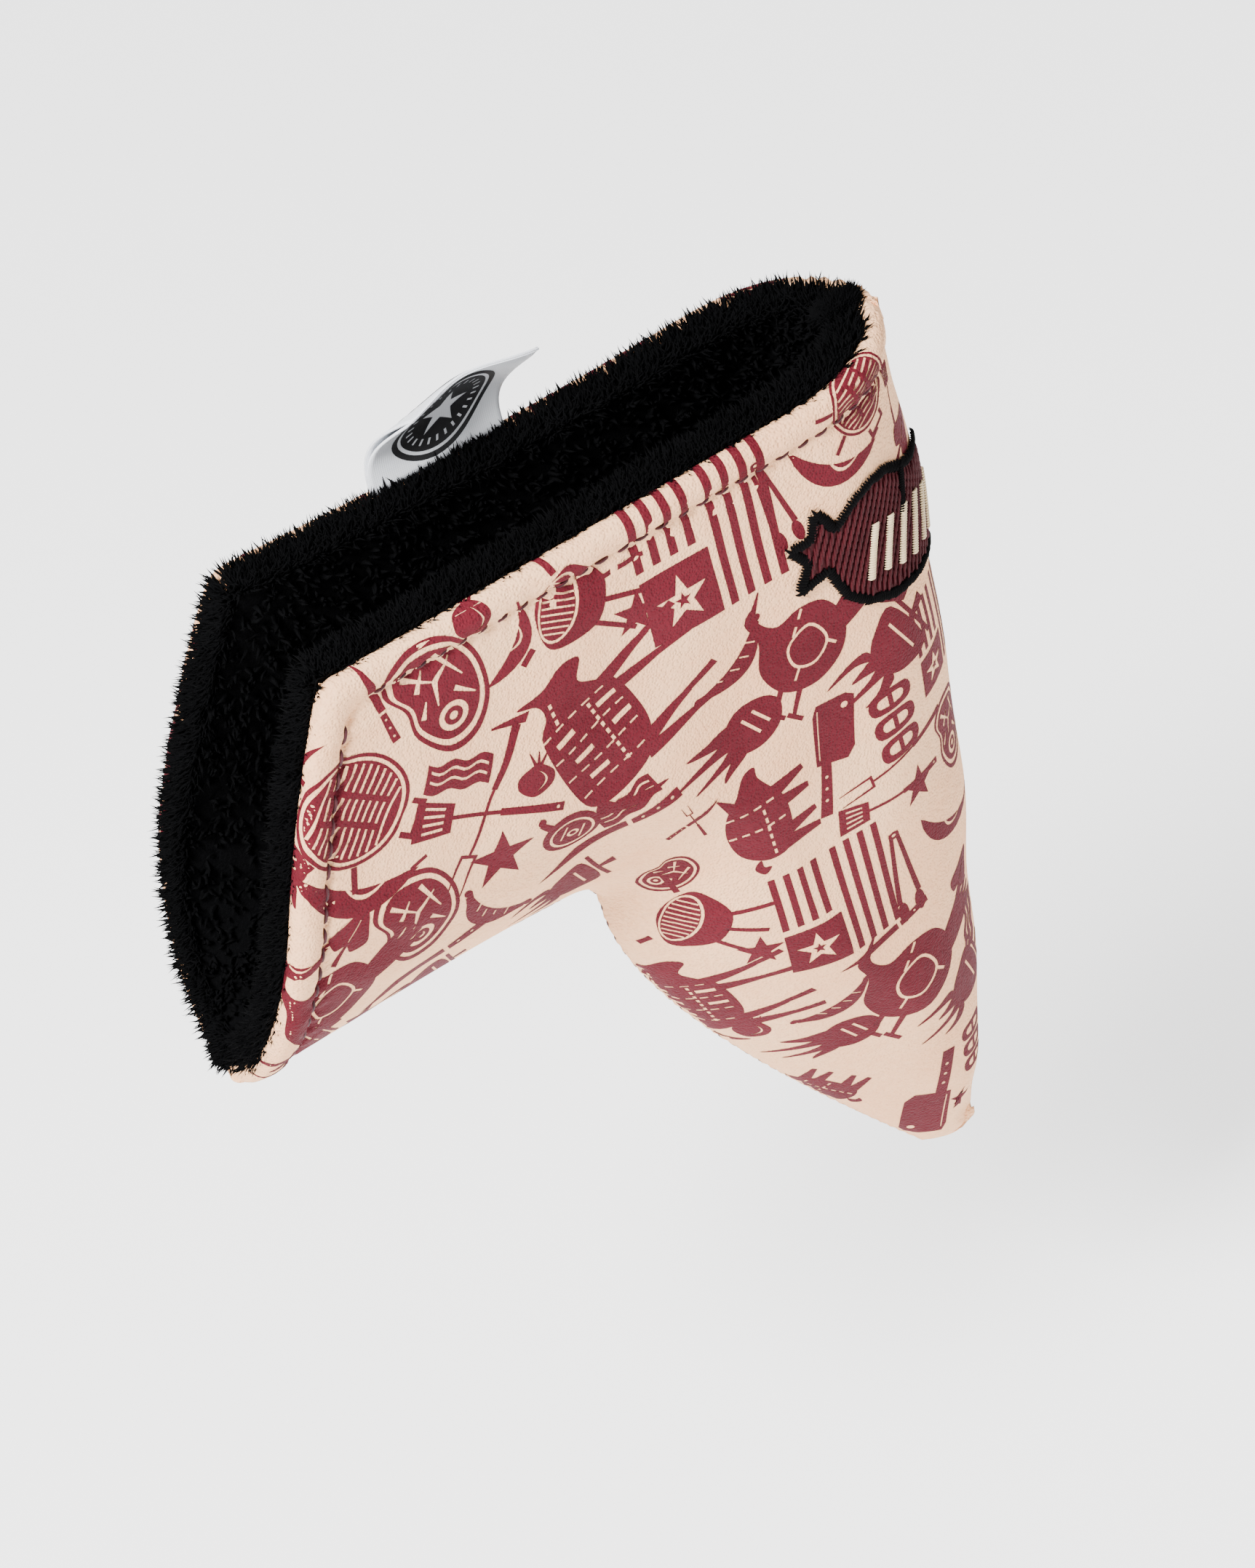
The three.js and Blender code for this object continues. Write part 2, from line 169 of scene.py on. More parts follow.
@dataclass(frozen=True)
class Roll:
    """How a wall turns towards a closed edge, and how its leather unrolls there."""

    reach: float
    half: float
    power: float

    def table(self) -> tuple[Array, Array]:
        """Distances from the edge, and the length of leather up to them."""
        part = 1 - np.cos(np.linspace(0, np.pi / 2, 200))
        rise = self.half * (1 - (1 - part) ** self.power) ** (1 / self.power)
        steps = np.hypot(np.diff(part * self.reach), np.diff(rise))
        return part * self.reach, np.concatenate([[0], np.cumsum(steps)])

    @property
    def spare(self) -> float:
        """Leather beyond the edge of the flat outline."""
        return float(self.table()[1][-1] - self.reach)

    def unroll(self, distance: Array) -> Array:
        """Distance on the flat leather of a place at a distance in the outline."""
        near, length = self.table()
        flat = np.interp(distance, near, length) - self.spare
        return np.where(distance < self.reach, flat, distance)

    def roll(self, flat: Array) -> Array:
        """Distance in the outline of a place on the flat leather."""
        near, length = self.table()
        return np.where(flat < self.reach, np.interp(flat + self.spare, length, near), flat)


@dataclass
class Pattern:
    """The paper pattern of the cover and the round shape that it is sewn into, in millimetres."""

    crown: tuple = (0.0, 155.0)
    foot: tuple = (0.0, 3.0)
    free_corner: tuple = (-91.0, 150.0)
    keel_end: tuple = (-110.0, 83.0)
    crotch: tuple = (-53.0, 83.0)
    knee: tuple = (-51.5, 55.0)
    toe: tuple = (-9.0, 2.0)
    toe_pull: tuple = (-1.0, -2.5)
    spine_bow: float = 3.4
    rim_bow: float = -1.0
    end_bow: float = 2.6
    keel_bow: float = 0.5
    crotch_round: float = 6.0
    spine_split: float = 88.0
    half_corner: float = 14.7
    half_end: float = 19.3
    half_crown: float = 13.7
    half_middle: float = 15.9
    half_toe: float = 8.0
    pinch: float = -0.9
    spine_roll: Roll = Roll(19.8, 15.0, 2.0)
    arm_roll: Roll = Roll(30.8, 15.9, 1.37)
    leg_roll: Roll = Roll(22.9, 14.5, 1.37)
    end_turn: float = 32.2
    end_wedge: float = 1.62
    toe_turn: float = 11.0
    toe_reach: float = 60.0
    hem: float = 4.7
    lip: float = 1.25
    corner: float = 0.9
    overrun: float = 12.0

    def __post_init__(self) -> None:
        """Draws the outline."""
        keel_curve = bowed(self.keel_end, self.crotch, self.keel_bow)
        inner = np.array(self.crotch, float)
        before = Polyline(keel_curve).at(1 - self.crotch_round / np.linalg.norm(inner - self.keel_end))
        down = np.array(self.knee) - inner
        after = inner + down * self.crotch_round / np.linalg.norm(down)
        out = (self.keel_end[0] - self.overrun, self.keel_end[1])
        self.keel = Polyline(np.vstack([[out], bowed(self.keel_end, before, self.keel_bow)]))
        self.inside = Polyline(bezier(before, inner, after))
        self.leg = Polyline(bezier(after, self.knee, self.toe))
        self.tip = Polyline(bezier(self.toe, self.toe_pull, self.foot))
        lines = [self.keel.points, self.inside.points[1:], self.leg.points[1:], self.tip.points[1:]]
        self.seam = Polyline(np.vstack(lines))
        top = (self.crown[0], self.crown[1] + 2 * self.overrun)
        self.spine = Polyline(np.vstack([bowed(self.foot, self.crown, -self.spine_bow), [top]]))
        rim = bowed(self.crown, self.free_corner, -self.rim_bow)
        left = rim[-1] + (rim[-1] - rim[-2]) * 8
        right = rim[0] + (rim[0] - rim[1]) * 8
        self.rim = Polyline(np.vstack([[right], rim, [left]]))
        end = bowed(self.free_corner, self.keel_end, -self.end_bow)
        high = end[0] + (end[0] - end[1]) * 5
        low = end[-1] + (end[-1] - end[-2]) * 5
        self.end = Polyline(np.vstack([[high], end, [low]]))

    def full_half(self, x: Array, z: Array) -> Array:
        """Half of the thickness in the middle of the wall."""
        up = np.clip(z / self.crown[1], -0.1, 1.2)
        in_leg = self.half_toe * (1 - up) * (1 - 2 * up) + 4 * self.half_middle * up * (1 - up)
        in_leg += self.half_crown * up * (2 * up - 1)
        rise = np.clip((z - self.keel_end[1]) / (self.free_corner[1] - self.keel_end[1]), -0.3, 1.3)
        at_end = self.half_end + (self.half_corner - self.half_end) * rise
        out = np.clip((x / self.free_corner[0] - 0.05) / 0.95, 0, 1.2)
        return in_leg * (1 - out) + at_end * out + 4 * self.pinch * out * (1 - out)

    def half(self, places: Array, depth: float = 0.0) -> Array:
        """Half of the distance between the walls, for a face at a depth in the wall.

        Args:
            places: Points of the outline, one row each.
            depth: Distance inside the outer face.

        Returns:
            The half thickness at each point.
        """
        x, z = places[:, 0], places[:, 1]
        in_leg = 1 / (1 + np.exp((self.crotch[0] - x) / 6))
        at_end = smoothstep(x / self.keel_end[0], 0.45, 1)
        seam_turn = self.arm_roll.reach * (1 - in_leg) + self.leg_roll.reach * in_leg
        seam_turn = seam_turn * (1 - at_end) + self.end_turn * at_end
        wedge = self.arm_roll.power * (1 - at_end) + self.end_wedge * at_end
        spine_turn = self.toe_turn + (
            self.spine_roll.reach - self.toe_turn
        ) * smoothstep(z, 0, self.toe_reach)
        seam, spine = self.seam.measure(places)[0] - depth, self.spine.measure(places)[0] - depth
        from_seam = np.clip(seam / (seam_turn - depth), 0, 1)
        from_spine = np.clip(spine / (spine_turn - depth), 0, 1)
        rise = (1 - (1 - from_seam) ** wedge) ** (1 / wedge) * np.sqrt(1 - (1 - from_spine) ** 2)
        return (self.full_half(x, z) - depth) * rise

    def mouth(self, places: Array) -> tuple[Array, Array]:
        """Distances inside the open edge, rounded at its free corner, and how they fall outwards."""
        rim, rim_in = self.rim.measure(places)
        end, end_in = self.end.measure(places)
        first = np.minimum(rim, end)
        weights = np.exp((first - rim) / self.corner), np.exp((first - end) / self.corner)
        total = weights[0] + weights[1]
        slope = (rim_in * weights[0][:, None] + end_in * weights[1][:, None]) / total[:, None]
        return first - self.corner * np.log(total), -slope

    def relief(self, places: Array, inside: Array, side: float) -> Array:
        """How far the leather stands out from the smooth shape.

        Args:
            places: Points of the outline, one row each.
            inside: Their distances from the open edge.
            side: Sign of the wall.

        Returns:
            The height of the hem, the stitched channel, the seam and the soft waves.
        """
        x, z = places[:, 0], places[:, 1]
        run = np.where(inside < self.rim.measure(places)[0] - 0.01, z, x)
        pucker = 0.5 + 0.5 * np.cos(2 * np.pi * run / 3.05)
        puff = 0.7 * np.sin(np.pi * np.clip(inside / self.hem, 0, 1)) ** 0.8
        puff *= 1 + 0.2 * np.sin(run * 0.41 + side) + 0.12 * np.sin(run * 1.07)
        channel = -(0.38 + 0.36 * pucker) * np.exp(-(((inside - self.hem) / 0.62) ** 2))
        beside = -0.24 * pucker * np.exp(-(((inside - self.hem - 0.9) / 1.6) ** 2))
        beside -= 0.18 * pucker * np.exp(-(((inside - self.hem + 1.4) / 0.9) ** 2))
        seam = self.seam.measure(places)[0]
        gather = 0.75 + 0.25 * np.cos(2 * np.pi * (x - z) / 3.4)
        sewn = -0.5 * gather * np.exp(-((seam / 0.9) ** 2))
        calm = smoothstep(inside, 3, 14) * smoothstep(seam, 3, 16)
        waves = 0.22 * np.sin(0.16 * x + 0.21 * z + side) + 0.16 * np.sin(0.31 * x - 0.12 * z + 2 * side)
        drag = 0.18 * np.sin(0.55 * (z + 0.45 * x)) * smoothstep(-x, 20, 60) * smoothstep(z, 82, 92)
        return puff + channel + beside + sewn + (waves + drag) * calm

    def surface(self, places: Array, side: float, lift: float | Array = 0.0, lumpy: bool = True) -> Array:
        """Places on the outer face of the sewn leather, rolled in over the open edge.

        Args:
            places: Points of the outline, which may lie past the open edge.
            side: Sign of the wall.
            lift: Height over the leather.
            lumpy: Whether the relief is added.

        Returns:
            Points in space, in millimetres.
        """
        inside, out = self.mouth(places)
        past = np.maximum(self.lip - inside, 0)
        edge = places - out * (past / np.sum(out * out, 1))[:, None]
        out = unit(out)
        normal = self.normal(edge, side)
        run = (self.half(edge + 0.2 * out) - self.half(edge - 0.2 * out)) / 0.4
        over = np.stack([out[:, 0], side * run, out[:, 1]], -1)
        over -= normal * np.sum(over * normal, 1)[:, None]
        over /= np.linalg.norm(over, axis=1)[:, None]
        angle = np.minimum(past / self.lip, np.pi)
        flap = np.maximum(past - np.pi * self.lip, 0)
        relief = self.relief(edge, np.minimum(inside, 60), side) * np.cos(angle / 2) if lumpy else 0
        radius = self.lip + lift + relief
        base = np.stack([edge[:, 0], side * self.half(edge), edge[:, 1]], -1)
        base += normal * (radius * np.cos(angle) - self.lip)[:, None]
        return base + over * (radius * np.sin(angle) - flap)[:, None]

    def normal(self, places: Array, side: float, depth: float = 0.0) -> Array:
        """Outward directions of the wall at places of the outline."""
        step = np.array([[0.06, 0.0], [0.0, 0.06]])
        slope = [(self.half(places + s, depth) - self.half(places - s, depth)) / 0.12 for s in step]
        normal = np.stack([-slope[0], np.full(len(places), float(side)), -slope[1]], -1)
        return normal / np.linalg.norm(normal, axis=1)[:, None]

    def seam_roll(self, places: Array, values: Array, way: str) -> Array:
        """Rolls or unrolls distances from the seam, between the arm's way and the leg's."""
        in_leg = 1 / (1 + np.exp((self.crotch[0] - places[:, 0]) / 6))
        arm, leg = getattr(self.arm_roll, way)(values), getattr(self.leg_roll, way)(values)
        return arm * (1 - in_leg) + leg * in_leg

    def flatten(self, places: Array) -> Array:
        """Where places of the sewn wall lie on the flat leather."""
        spine, to_wall = self.spine.measure(places)
        seam, up = self.seam.measure(places)
        flat = places + to_wall * (self.spine_roll.unroll(spine) - spine)[:, None]
        return flat + up * (self.seam_roll(places, seam, "unroll") - seam)[:, None]

    def sew(self, flat: Array) -> tuple[Array, Array]:
        """Where places of the flat leather lie on the sewn wall.

        Args:
            flat: Points of the flat leather, one row each.

        Returns:
            Points of the outline, and 1 where the place is on this wall or -1 on the other.
        """
        spine, to_wall = self.spine.measure(flat)
        seam, up = self.seam.measure(flat)
        spare = self.spine_roll.spare
        across = np.where(spine < -spare, -1.0, 1.0)
        folded = np.where(spine < -spare, -2 * spare - spine, spine)
        places = flat + to_wall * (self.spine_roll.roll(folded) - spine)[:, None]
        places = places + up * (self.seam_roll(flat, seam, "roll") - seam)[:, None]
        left, to_left = self.spine.measure(places)
        below, to_arm = self.seam.measure(places)
        places = places + to_left * np.maximum(0.01 - left, 0)[:, None]
        return places + to_arm * np.maximum(0.01 - below, 0)[:, None], across

    def tip_fractions(self, depth: float) -> tuple[float, float]:
        """Where a layer's leg edge and spine edge end, as fractions of those lines."""
        if depth == 0:
            return 1.0, self.spine.fraction_near(self.foot)
        legs, spines = np.linspace(0, 1, 200), np.linspace(0, 0.4, 200)
        edge = self.leg.at(legs) + self.leg.normal(legs) * depth
        back = self.spine.at(spines) + self.spine.normal(spines) * depth
        gaps = np.linalg.norm(edge[:, None] - back[None], axis=2)
        first, second = np.unravel_index(np.argmin(gaps), gaps.shape)
        return float(legs[first]) * 0.94, float(spines[second]) + 0.02

    def columns(self, depth: float, over: float, counts: tuple) -> tuple[Array, Array, Array, Array]:
        """Straight columns from the seam up to the rim or across to the spine.

        Args:
            depth: Distance of the layer inside the outline.
            over: How far the layer runs past the open edge.
            counts: Columns over the keel, round the crotch twice, and down the leg and tip.

        Returns:
            Low ends, high ends, bows, and 1 where the high end is open.
        """
        keels, crowns, spines, legs, tips = counts
        over_crotch = self.crotch[0] - 6
        rim_x = self.rim.points[1:-1][::-1]
        lows, highs, bows, opens = [], [], [], []

        def rim_at(x: Array) -> Array:
            return np.stack([x, np.interp(x, rim_x[:, 0], rim_x[:, 1]) + over], -1)

        def low_at(line: Polyline, part: Array) -> Array:
            return line.at(part) + line.normal(part) * depth

        part = np.linspace(0, 1, keels + 1)
        part = 0.45 * part + 0.55 * part**2
        start = self.keel.fraction_near((self.keel_end[0] - over, self.keel_end[1]))
        lows.append(low_at(self.keel, start + (1 - start) * part))
        highs.append(rim_at((self.free_corner[0] - over) * (1 - part) + over_crotch * part))
        bows.append(self.end_bow * (1 - part))
        opens.append(np.ones(keels + 1))
        fan = np.arange(1, crowns + spines + 1) / (crowns + spines)
        lows.append(low_at(self.inside, fan))
        part = np.sin(np.arange(1, crowns + 1) / crowns * np.pi / 2)
        crown = self.spine.fraction_near((self.crown[0], self.crown[1] + over))
        last = self.spine.at(crown)[0] - depth
        highs.append(rim_at(over_crotch + (last - over_crotch) * part))
        split = self.spine.fraction_near((0, self.spine_split))
        part = crown + (split - crown) * np.arange(1, spines + 1) / spines
        highs.append(self.spine.at(part) + self.spine.normal(part) * depth)
        bows.append(np.zeros(crowns + spines))
        opens.append(np.r_[np.ones(crowns), np.zeros(spines)])
        total = legs + tips
        stop, down = self.tip_fractions(depth)
        lows.append(low_at(self.leg, stop * np.arange(1, legs + 1) / legs))
        if tips:
            lows.append(self.tip.at(np.arange(1, tips + 1) / tips))
        part = split + (down - split) * np.arange(1, total + 1) / total
        highs.append(self.spine.at(part) + self.spine.normal(part) * depth)
        bows.append(np.zeros(total))
        opens.append(np.zeros(total))
        return np.vstack(lows), np.vstack(highs), np.concatenate(bows), np.concatenate(opens)

    def grid(self, depth: float, over: float, counts: tuple, rows: int) -> Array:
        """Places of the outline in a grid of columns and rows.

        Args:
            depth: Distance of the layer inside the outline.
            over: How far the layer runs past the open edge.
            counts: Numbers of columns.
            rows: Number of steps in each column.

        Returns:
            An array of columns by rows by 2.
        """
        low, high, bow, _ = self.columns(depth, over, counts)
        up = (1 - np.cos(np.pi * np.arange(rows + 1) / rows)) / 2
        places = low[:, None] + (high - low)[:, None] * up[None, :, None]
        places[..., 0] -= 4 * bow[:, None] * (up * (1 - up))[None]
        return places


PATTERN = Pattern()


def to_row(points: Array) -> Array:
    """Points of the pattern in the part's frame, in metres."""
    return (np.asarray(points) - SEAT) * MM


def make_object(name: str, points: Array, faces: list | Array) -> bpy.types.Object:
    """A mesh object from points in the pattern's millimetres.

    Args:
        name: Name of the piece.
        points: Corners, one row each.
        faces: Corner numbers of each face.

    Returns:
        The new object, at the origin.
    """
    mesh = bpy.data.meshes.new(name)
    mesh.from_pydata(to_row(points).tolist(), [], [tuple(f) for f in faces])
    mesh.update()
    made = bpy.data.objects.new(name, mesh)
    bpy.context.scene.collection.objects.link(made)
    return made


def shade_smooth(made: bpy.types.Object) -> None:
    """Shades every face of a piece smooth."""
    made.data.polygons.foreach_set("use_smooth", [True] * len(made.data.polygons))


def across_fold(made: bpy.types.Object, side: Side) -> bpy.types.Object:
    """Bakes a piece's place into its mesh; the line from the pocket to the free corner is worked out but not
    used.
    """
    first, last = np.array(PATTERN.keel_end), np.array(PATTERN.crown)
    along = (last - first) / np.linalg.norm(last - first)
    middle = (first + last) / 2
    free = middle + 16 * np.array([-along[1], along[0]])
    points = to_row(np.array([[middle[0], 0, middle[1]], [free[0], 0, free[1]]]))
    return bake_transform(made, "pocket", side.body, tuple(points[0]), tuple(points[1]))


# ---------------------------------------------------------------- finishes


class Nodes:
    """A material's node tree, with short ways to add to it."""

    def __init__(self, name: str) -> None:
        """Starts a material with its own Principled shader."""
        self.material = bpy.data.materials.new(name)
        self.material.use_nodes = True
        self.tree = self.material.node_tree
        self.shader = self.tree.nodes["Principled BSDF"]
        self.place = self.add("ShaderNodeTexCoord").outputs["Object"]

    def add(self, kind: str, **inputs: object) -> bpy.types.Node:
        """A node of a kind, with its inputs set or linked."""
        node = self.tree.nodes.new(kind)
        for name, value in inputs.items():
            self.set(node, name.replace("_", " "), value)
        return node

    def set(self, node: bpy.types.Node, name: str, value: object) -> None:
        """Sets or links one input of a node."""
        socket = node.inputs[name]
        if isinstance(value, bpy.types.NodeSocket):
            self.tree.links.new(value, socket)
        else:
            socket.default_value = value

    def noise(self, scale: float, detail: float = 3.0, roughness: float = 0.55) -> bpy.types.NodeSocket:
        """Soft noise in the piece's own space, at a scale per metre."""
        node = self.add(
            "ShaderNodeTexNoise", Vector=self.place, Scale=scale, Detail=detail, Roughness=roughness
        )
        return node.outputs["Fac"]

    def cells(self, scale: float, feature: str = "F1") -> bpy.types.NodeSocket:
        """Cells in the piece's own space, at a scale per metre."""
        node = self.add("ShaderNodeTexVoronoi", Vector=self.place, Scale=scale)
        node.feature = feature
        return node.outputs["Distance"]

    def spread(self, value: bpy.types.NodeSocket, low: float, high: float, start: float = 0.0,
               end: float = 1.0) -> bpy.types.NodeSocket:
        """A value from start to end, spread between low and high."""
        node = self.add("ShaderNodeMapRange", Value=value)
        for name, number in zip(("From Min", "From Max", "To Min", "To Max"), (start, end, low, high)):
            node.inputs[name].default_value = number
        return node.outputs["Result"]

    def math(self, way: str, first: object, second: object) -> bpy.types.NodeSocket:
        """One step of arithmetic."""
        node = self.tree.nodes.new("ShaderNodeMath")
        node.operation = way
        for socket, value in zip(node.inputs, (first, second)):
            if isinstance(value, bpy.types.NodeSocket):
                self.tree.links.new(value, socket)
            else:
                socket.default_value = value
        return node.outputs[0]

    def colours(self, value: bpy.types.NodeSocket, dark: tuple, light: tuple) -> bpy.types.NodeSocket:
        """A colour between dark and light."""
        node = self.add("ShaderNodeMix")
        node.data_type = "RGBA"
        self.tree.links.new(value, node.inputs["Factor"])
        node.inputs[6].default_value = (*dark, 1)
        node.inputs[7].default_value = (*light, 1)
        return node.outputs[2]

    def bump(self, height: bpy.types.NodeSocket, strength: float, distance: float) -> None:
        """Raises the surface by a height, over a distance in metres."""
        node = self.add("ShaderNodeBump", Height=height, Strength=strength, Distance=distance)
        self.tree.links.new(node.outputs["Normal"], self.shader.inputs["Normal"])


@dataclass(frozen=True)
class Leather:
    """Fine pebbled leather, plain or printed."""

    name: str
    dark: tuple
    light: tuple
    rough: float
    sheen: float = 0.0

    def make(self) -> bpy.types.Material:
        """Builds the material."""
        nodes = Nodes(self.name)
        tone = nodes.noise(38, 4)
        speck = nodes.noise(900, 2)
        mixed = nodes.math("ADD", nodes.math("MULTIPLY", tone, 0.7), nodes.math("MULTIPLY", speck, 0.3))
        colour = nodes.colours(nodes.spread(mixed, 0, 1, 0.35, 0.65), self.dark, self.light)
        nodes.set(nodes.shader, "Base Color", colour)
        nodes.set(
            nodes.shader, "Roughness", nodes.spread(nodes.noise(420), self.rough - 0.07, self.rough + 0.09)
        )
        nodes.shader.inputs["Specular IOR Level"].default_value = 0.07
        nodes.shader.inputs["Sheen Weight"].default_value = self.sheen
        nodes.shader.inputs["Sheen Roughness"].default_value = 0.6
        pebble = nodes.spread(nodes.cells(2300), 0, 1, 0.0, 0.6)
        crease = nodes.noise(1000, 4, 0.6)
        height = nodes.math(
            "ADD", nodes.math("MULTIPLY", pebble, 0.55), nodes.math("MULTIPLY", crease, 0.6)
        )
        nodes.bump(height, 0.9, 0.0003)
        return nodes.material


@dataclass(frozen=True)
class Cloth:
    """Foam, plush, thread or ribbon, told apart by grain, gloss and sheen."""

    name: str
    dark: tuple
    light: tuple
    rough: float
    grain: float
    height: float
    sheen: float = 0.0
    sheen_tint: tuple = (1.0, 1.0, 1.0)
    gloss: float = 0.3

    def make(self) -> bpy.types.Material:
        """Builds the material."""
        nodes = Nodes(self.name)
        fibre = nodes.noise(self.grain, 3, 0.6)
        patch = nodes.noise(self.grain / 14, 2)
        mixed = nodes.math("ADD", nodes.math("MULTIPLY", fibre, 0.6), nodes.math("MULTIPLY", patch, 0.4))
        nodes.set(
            nodes.shader, "Base Color",
            nodes.colours(nodes.spread(mixed, 0, 1, 0.3, 0.7), self.dark, self.light)
        )
        nodes.set(nodes.shader, "Roughness", nodes.spread(fibre, self.rough - 0.08, self.rough + 0.08))
        nodes.shader.inputs["Specular IOR Level"].default_value = self.gloss
        nodes.shader.inputs["Sheen Weight"].default_value = self.sheen
        nodes.shader.inputs["Sheen Roughness"].default_value = 0.45
        nodes.shader.inputs["Sheen Tint"].default_value = (*self.sheen_tint, 1)
        nodes.bump(fibre, 0.5, self.height)
        return nodes.material


@dataclass(frozen=True)
class Weave:
    """A satin ribbon with fine threads both ways."""

    name: str
    dark: tuple
    light: tuple
    rough: float

    def make(self) -> bpy.types.Material:
        """Builds the material."""
        nodes = Nodes(self.name)
        waves = []
        for way in ("X", "Z"):
            wave = nodes.add("ShaderNodeTexWave", Vector=nodes.place, Scale=1100.0, Distortion=0.4)
            wave.bands_direction = way
            waves.append(wave.outputs["Fac"])
        weave = nodes.math(
            "ADD", nodes.math("MULTIPLY", waves[0], 0.65), nodes.math("MULTIPLY", waves[1], 0.35)
        )
        tone = nodes.math(
            "ADD", nodes.math("MULTIPLY", weave, 0.3), nodes.math("MULTIPLY", nodes.noise(90), 0.7)
        )
        nodes.set(
            nodes.shader, "Base Color",
            nodes.colours(nodes.spread(tone, 0, 1, 0.25, 0.75), self.dark, self.light)
        )
        nodes.set(nodes.shader, "Roughness", nodes.spread(weave, self.rough - 0.06, self.rough + 0.1))
        nodes.shader.inputs["Specular IOR Level"].default_value = 0.5
        nodes.bump(weave, 0.3, 0.00006)
        return nodes.material


@dataclass(frozen=True)
class Plating:
    """Nickel plate with a brushed face."""

    name: str
    colour: tuple
    rough: float

    def make(self) -> bpy.types.Material:
        """Builds the material."""
        nodes = Nodes(self.name)
        light = tuple(min(c * 1.15, 1) for c in self.colour)
        nodes.set(nodes.shader, "Base Color", nodes.colours(nodes.noise(300), self.colour, light))
        nodes.set(
            nodes.shader, "Roughness", nodes.spread(nodes.noise(2500), self.rough - 0.08, self.rough + 0.1)
        )
        nodes.shader.inputs["Metallic"].default_value = 1.0
        nodes.bump(nodes.noise(2500), 0.15, 0.00004)
        return nodes.material


CREAM = Leather("cream_leather", (0.89, 0.46, 0.245), (0.95, 0.56, 0.315), 0.62)
INK = Leather("maroon_print", (0.085, 0.0065, 0.012), (0.118, 0.011, 0.019), 0.62)
FOAM = Cloth("grey_foam", (0.05, 0.05, 0.055), (0.11, 0.11, 0.115), 0.9, 1800, 0.0003)
PILE = Cloth(
    "black_plush", (0.0004, 0.0004, 0.0005), (0.0022, 0.0022, 0.0026), 0.9, 2400, 0.0003, 0.0,
    (1.0, 1.0, 1.0), 0.05
)
SEWING = Cloth("sewing_thread", (0.03, 0.004, 0.007), (0.08, 0.012, 0.018), 0.6, 5200, 0.00012, 0.05)
RED_THREAD = Cloth(
    "red_embroidery", (0.026, 0.0022, 0.004), (0.07, 0.007, 0.011), 0.6, 5200, 0.0001, 0.0, (1.0, 1.0, 1.0),
    0.12
)
BLACK_THREAD = Cloth(
    "black_embroidery", (0.0006, 0.0005, 0.0006), (0.002, 0.0017, 0.002), 0.8, 5200, 0.0001, 0.0,
    (1.0, 1.0, 1.0), 0.05
)
STRAW_THREAD = Cloth("straw_embroidery", (0.62, 0.46, 0.25), (0.80, 0.64, 0.40), 0.5, 5200, 0.0001, 0.15)
SATIN = Weave("satin_ribbon", (0.66, 0.68, 0.72), (0.82, 0.84, 0.88), 0.36)
WOVEN_BLACK = Weave("woven_emblem", (0.006, 0.006, 0.007), (0.02, 0.02, 0.022), 0.5)
NICKEL = Plating("nickel_plate", (0.6, 0.61, 0.63), 0.25)


# ---------------------------------------------------------------- printed drawings


def ellipse(x: float, y: float, wide: float, tall: float, steps: int = 26) -> Array:
    """Points round an ellipse."""
    turn = np.linspace(0, 2 * np.pi, steps, endpoint=False)
    return np.stack([x + wide * np.cos(turn), y + tall * np.sin(turn)], -1)


def turned_left(line: Array) -> Array:
    """A closed line, run anticlockwise."""
    x, y = line[:, 0], line[:, 1]
    area = np.sum(x * np.roll(y, -1) - y * np.roll(x, -1))
    return line if area > 0 else line[::-1]


def bar(x0: float, y0: float, x1: float, y1: float, wide: float, end: float | None = None) -> Array:
    """Points round a straight bar that may taper to another width."""
    start, stop = np.array([x0, y0]), np.array([x1, y1])
    along = (stop - start) / np.linalg.norm(stop - start)
    side = np.array([-along[1], along[0]]) / 2
    last = wide if end is None else end
    return np.array([start - side * wide, stop - side * last, stop + side * last, start + side * wide])


def smooth_closed(points: list, steps: int = 5) -> Array:
    """A closed smooth line through a few points."""
    p = np.array(points, float)
    t = np.linspace(0, 1, steps, endpoint=False)[:, None]
    out = []
    for i in range(len(p)):
        a, b, c, d = p[i - 1], p[i], p[(i + 1) % len(p)], p[(i + 2) % len(p)]
        out.append(
            0.5 * (
                2 * b + (c - a) * t + (2 * a - 5 * b + 4 * c - d) * t**2 + (3 * b - a - 3 * c + d) * t**3
            )
        )
    return np.vstack(out)


def crescent(bend: float, wide: float, start: float = 0.0, steps: int = 12) -> Array:
    """A curved shape along the drawing's height, that tapers to both ends."""
    t = np.linspace(0, 1, steps + 1)
    middle = np.stack([bend * 4 * t * (1 - t) - bend * 0.66, t - 0.5], -1)
    half = wide * np.maximum(np.sin(np.pi * t) ** 0.6, start)
    return np.vstack([middle + np.stack([half, 0 * t], -1), (middle - np.stack([half, 0 * t], -1))[::-1]])


def star_points(x: float, y: float, size: float, points: int = 5) -> Array:
    """Points of a star."""
    turn = np.pi / 2 + np.arange(2 * points) * np.pi / points
    reach = np.where(np.arange(2 * points) % 2, size * 0.4, size)
    return np.stack([x + reach * np.cos(turn), y + reach * np.sin(turn)], -1)


class Motif(Enum):
    """The barbecue motifs of the print."""

    STAR = "star"
    STEAK = "steak"
    KETTLE = "kettle"
    GRILL = "grill"
    COW = "cow"
    PIG = "pig"
    CHICKEN = "chicken"
    CLEAVER = "cleaver"
    BANNER = "banner"
    TONGS = "tongs"
    CHILLI = "chilli"
    SAUSAGE = "sausage"
    SPATULA = "spatula"
    FORK = "fork"
    KNIFE = "knife"
    BACON = "bacon"
    ONION = "onion"
    HAM = "ham"
    FLAME = "flame"
    FIRE = "fire"
    LEAF = "leaf"
    LINKS = "links"
    CROSSED = "crossed"


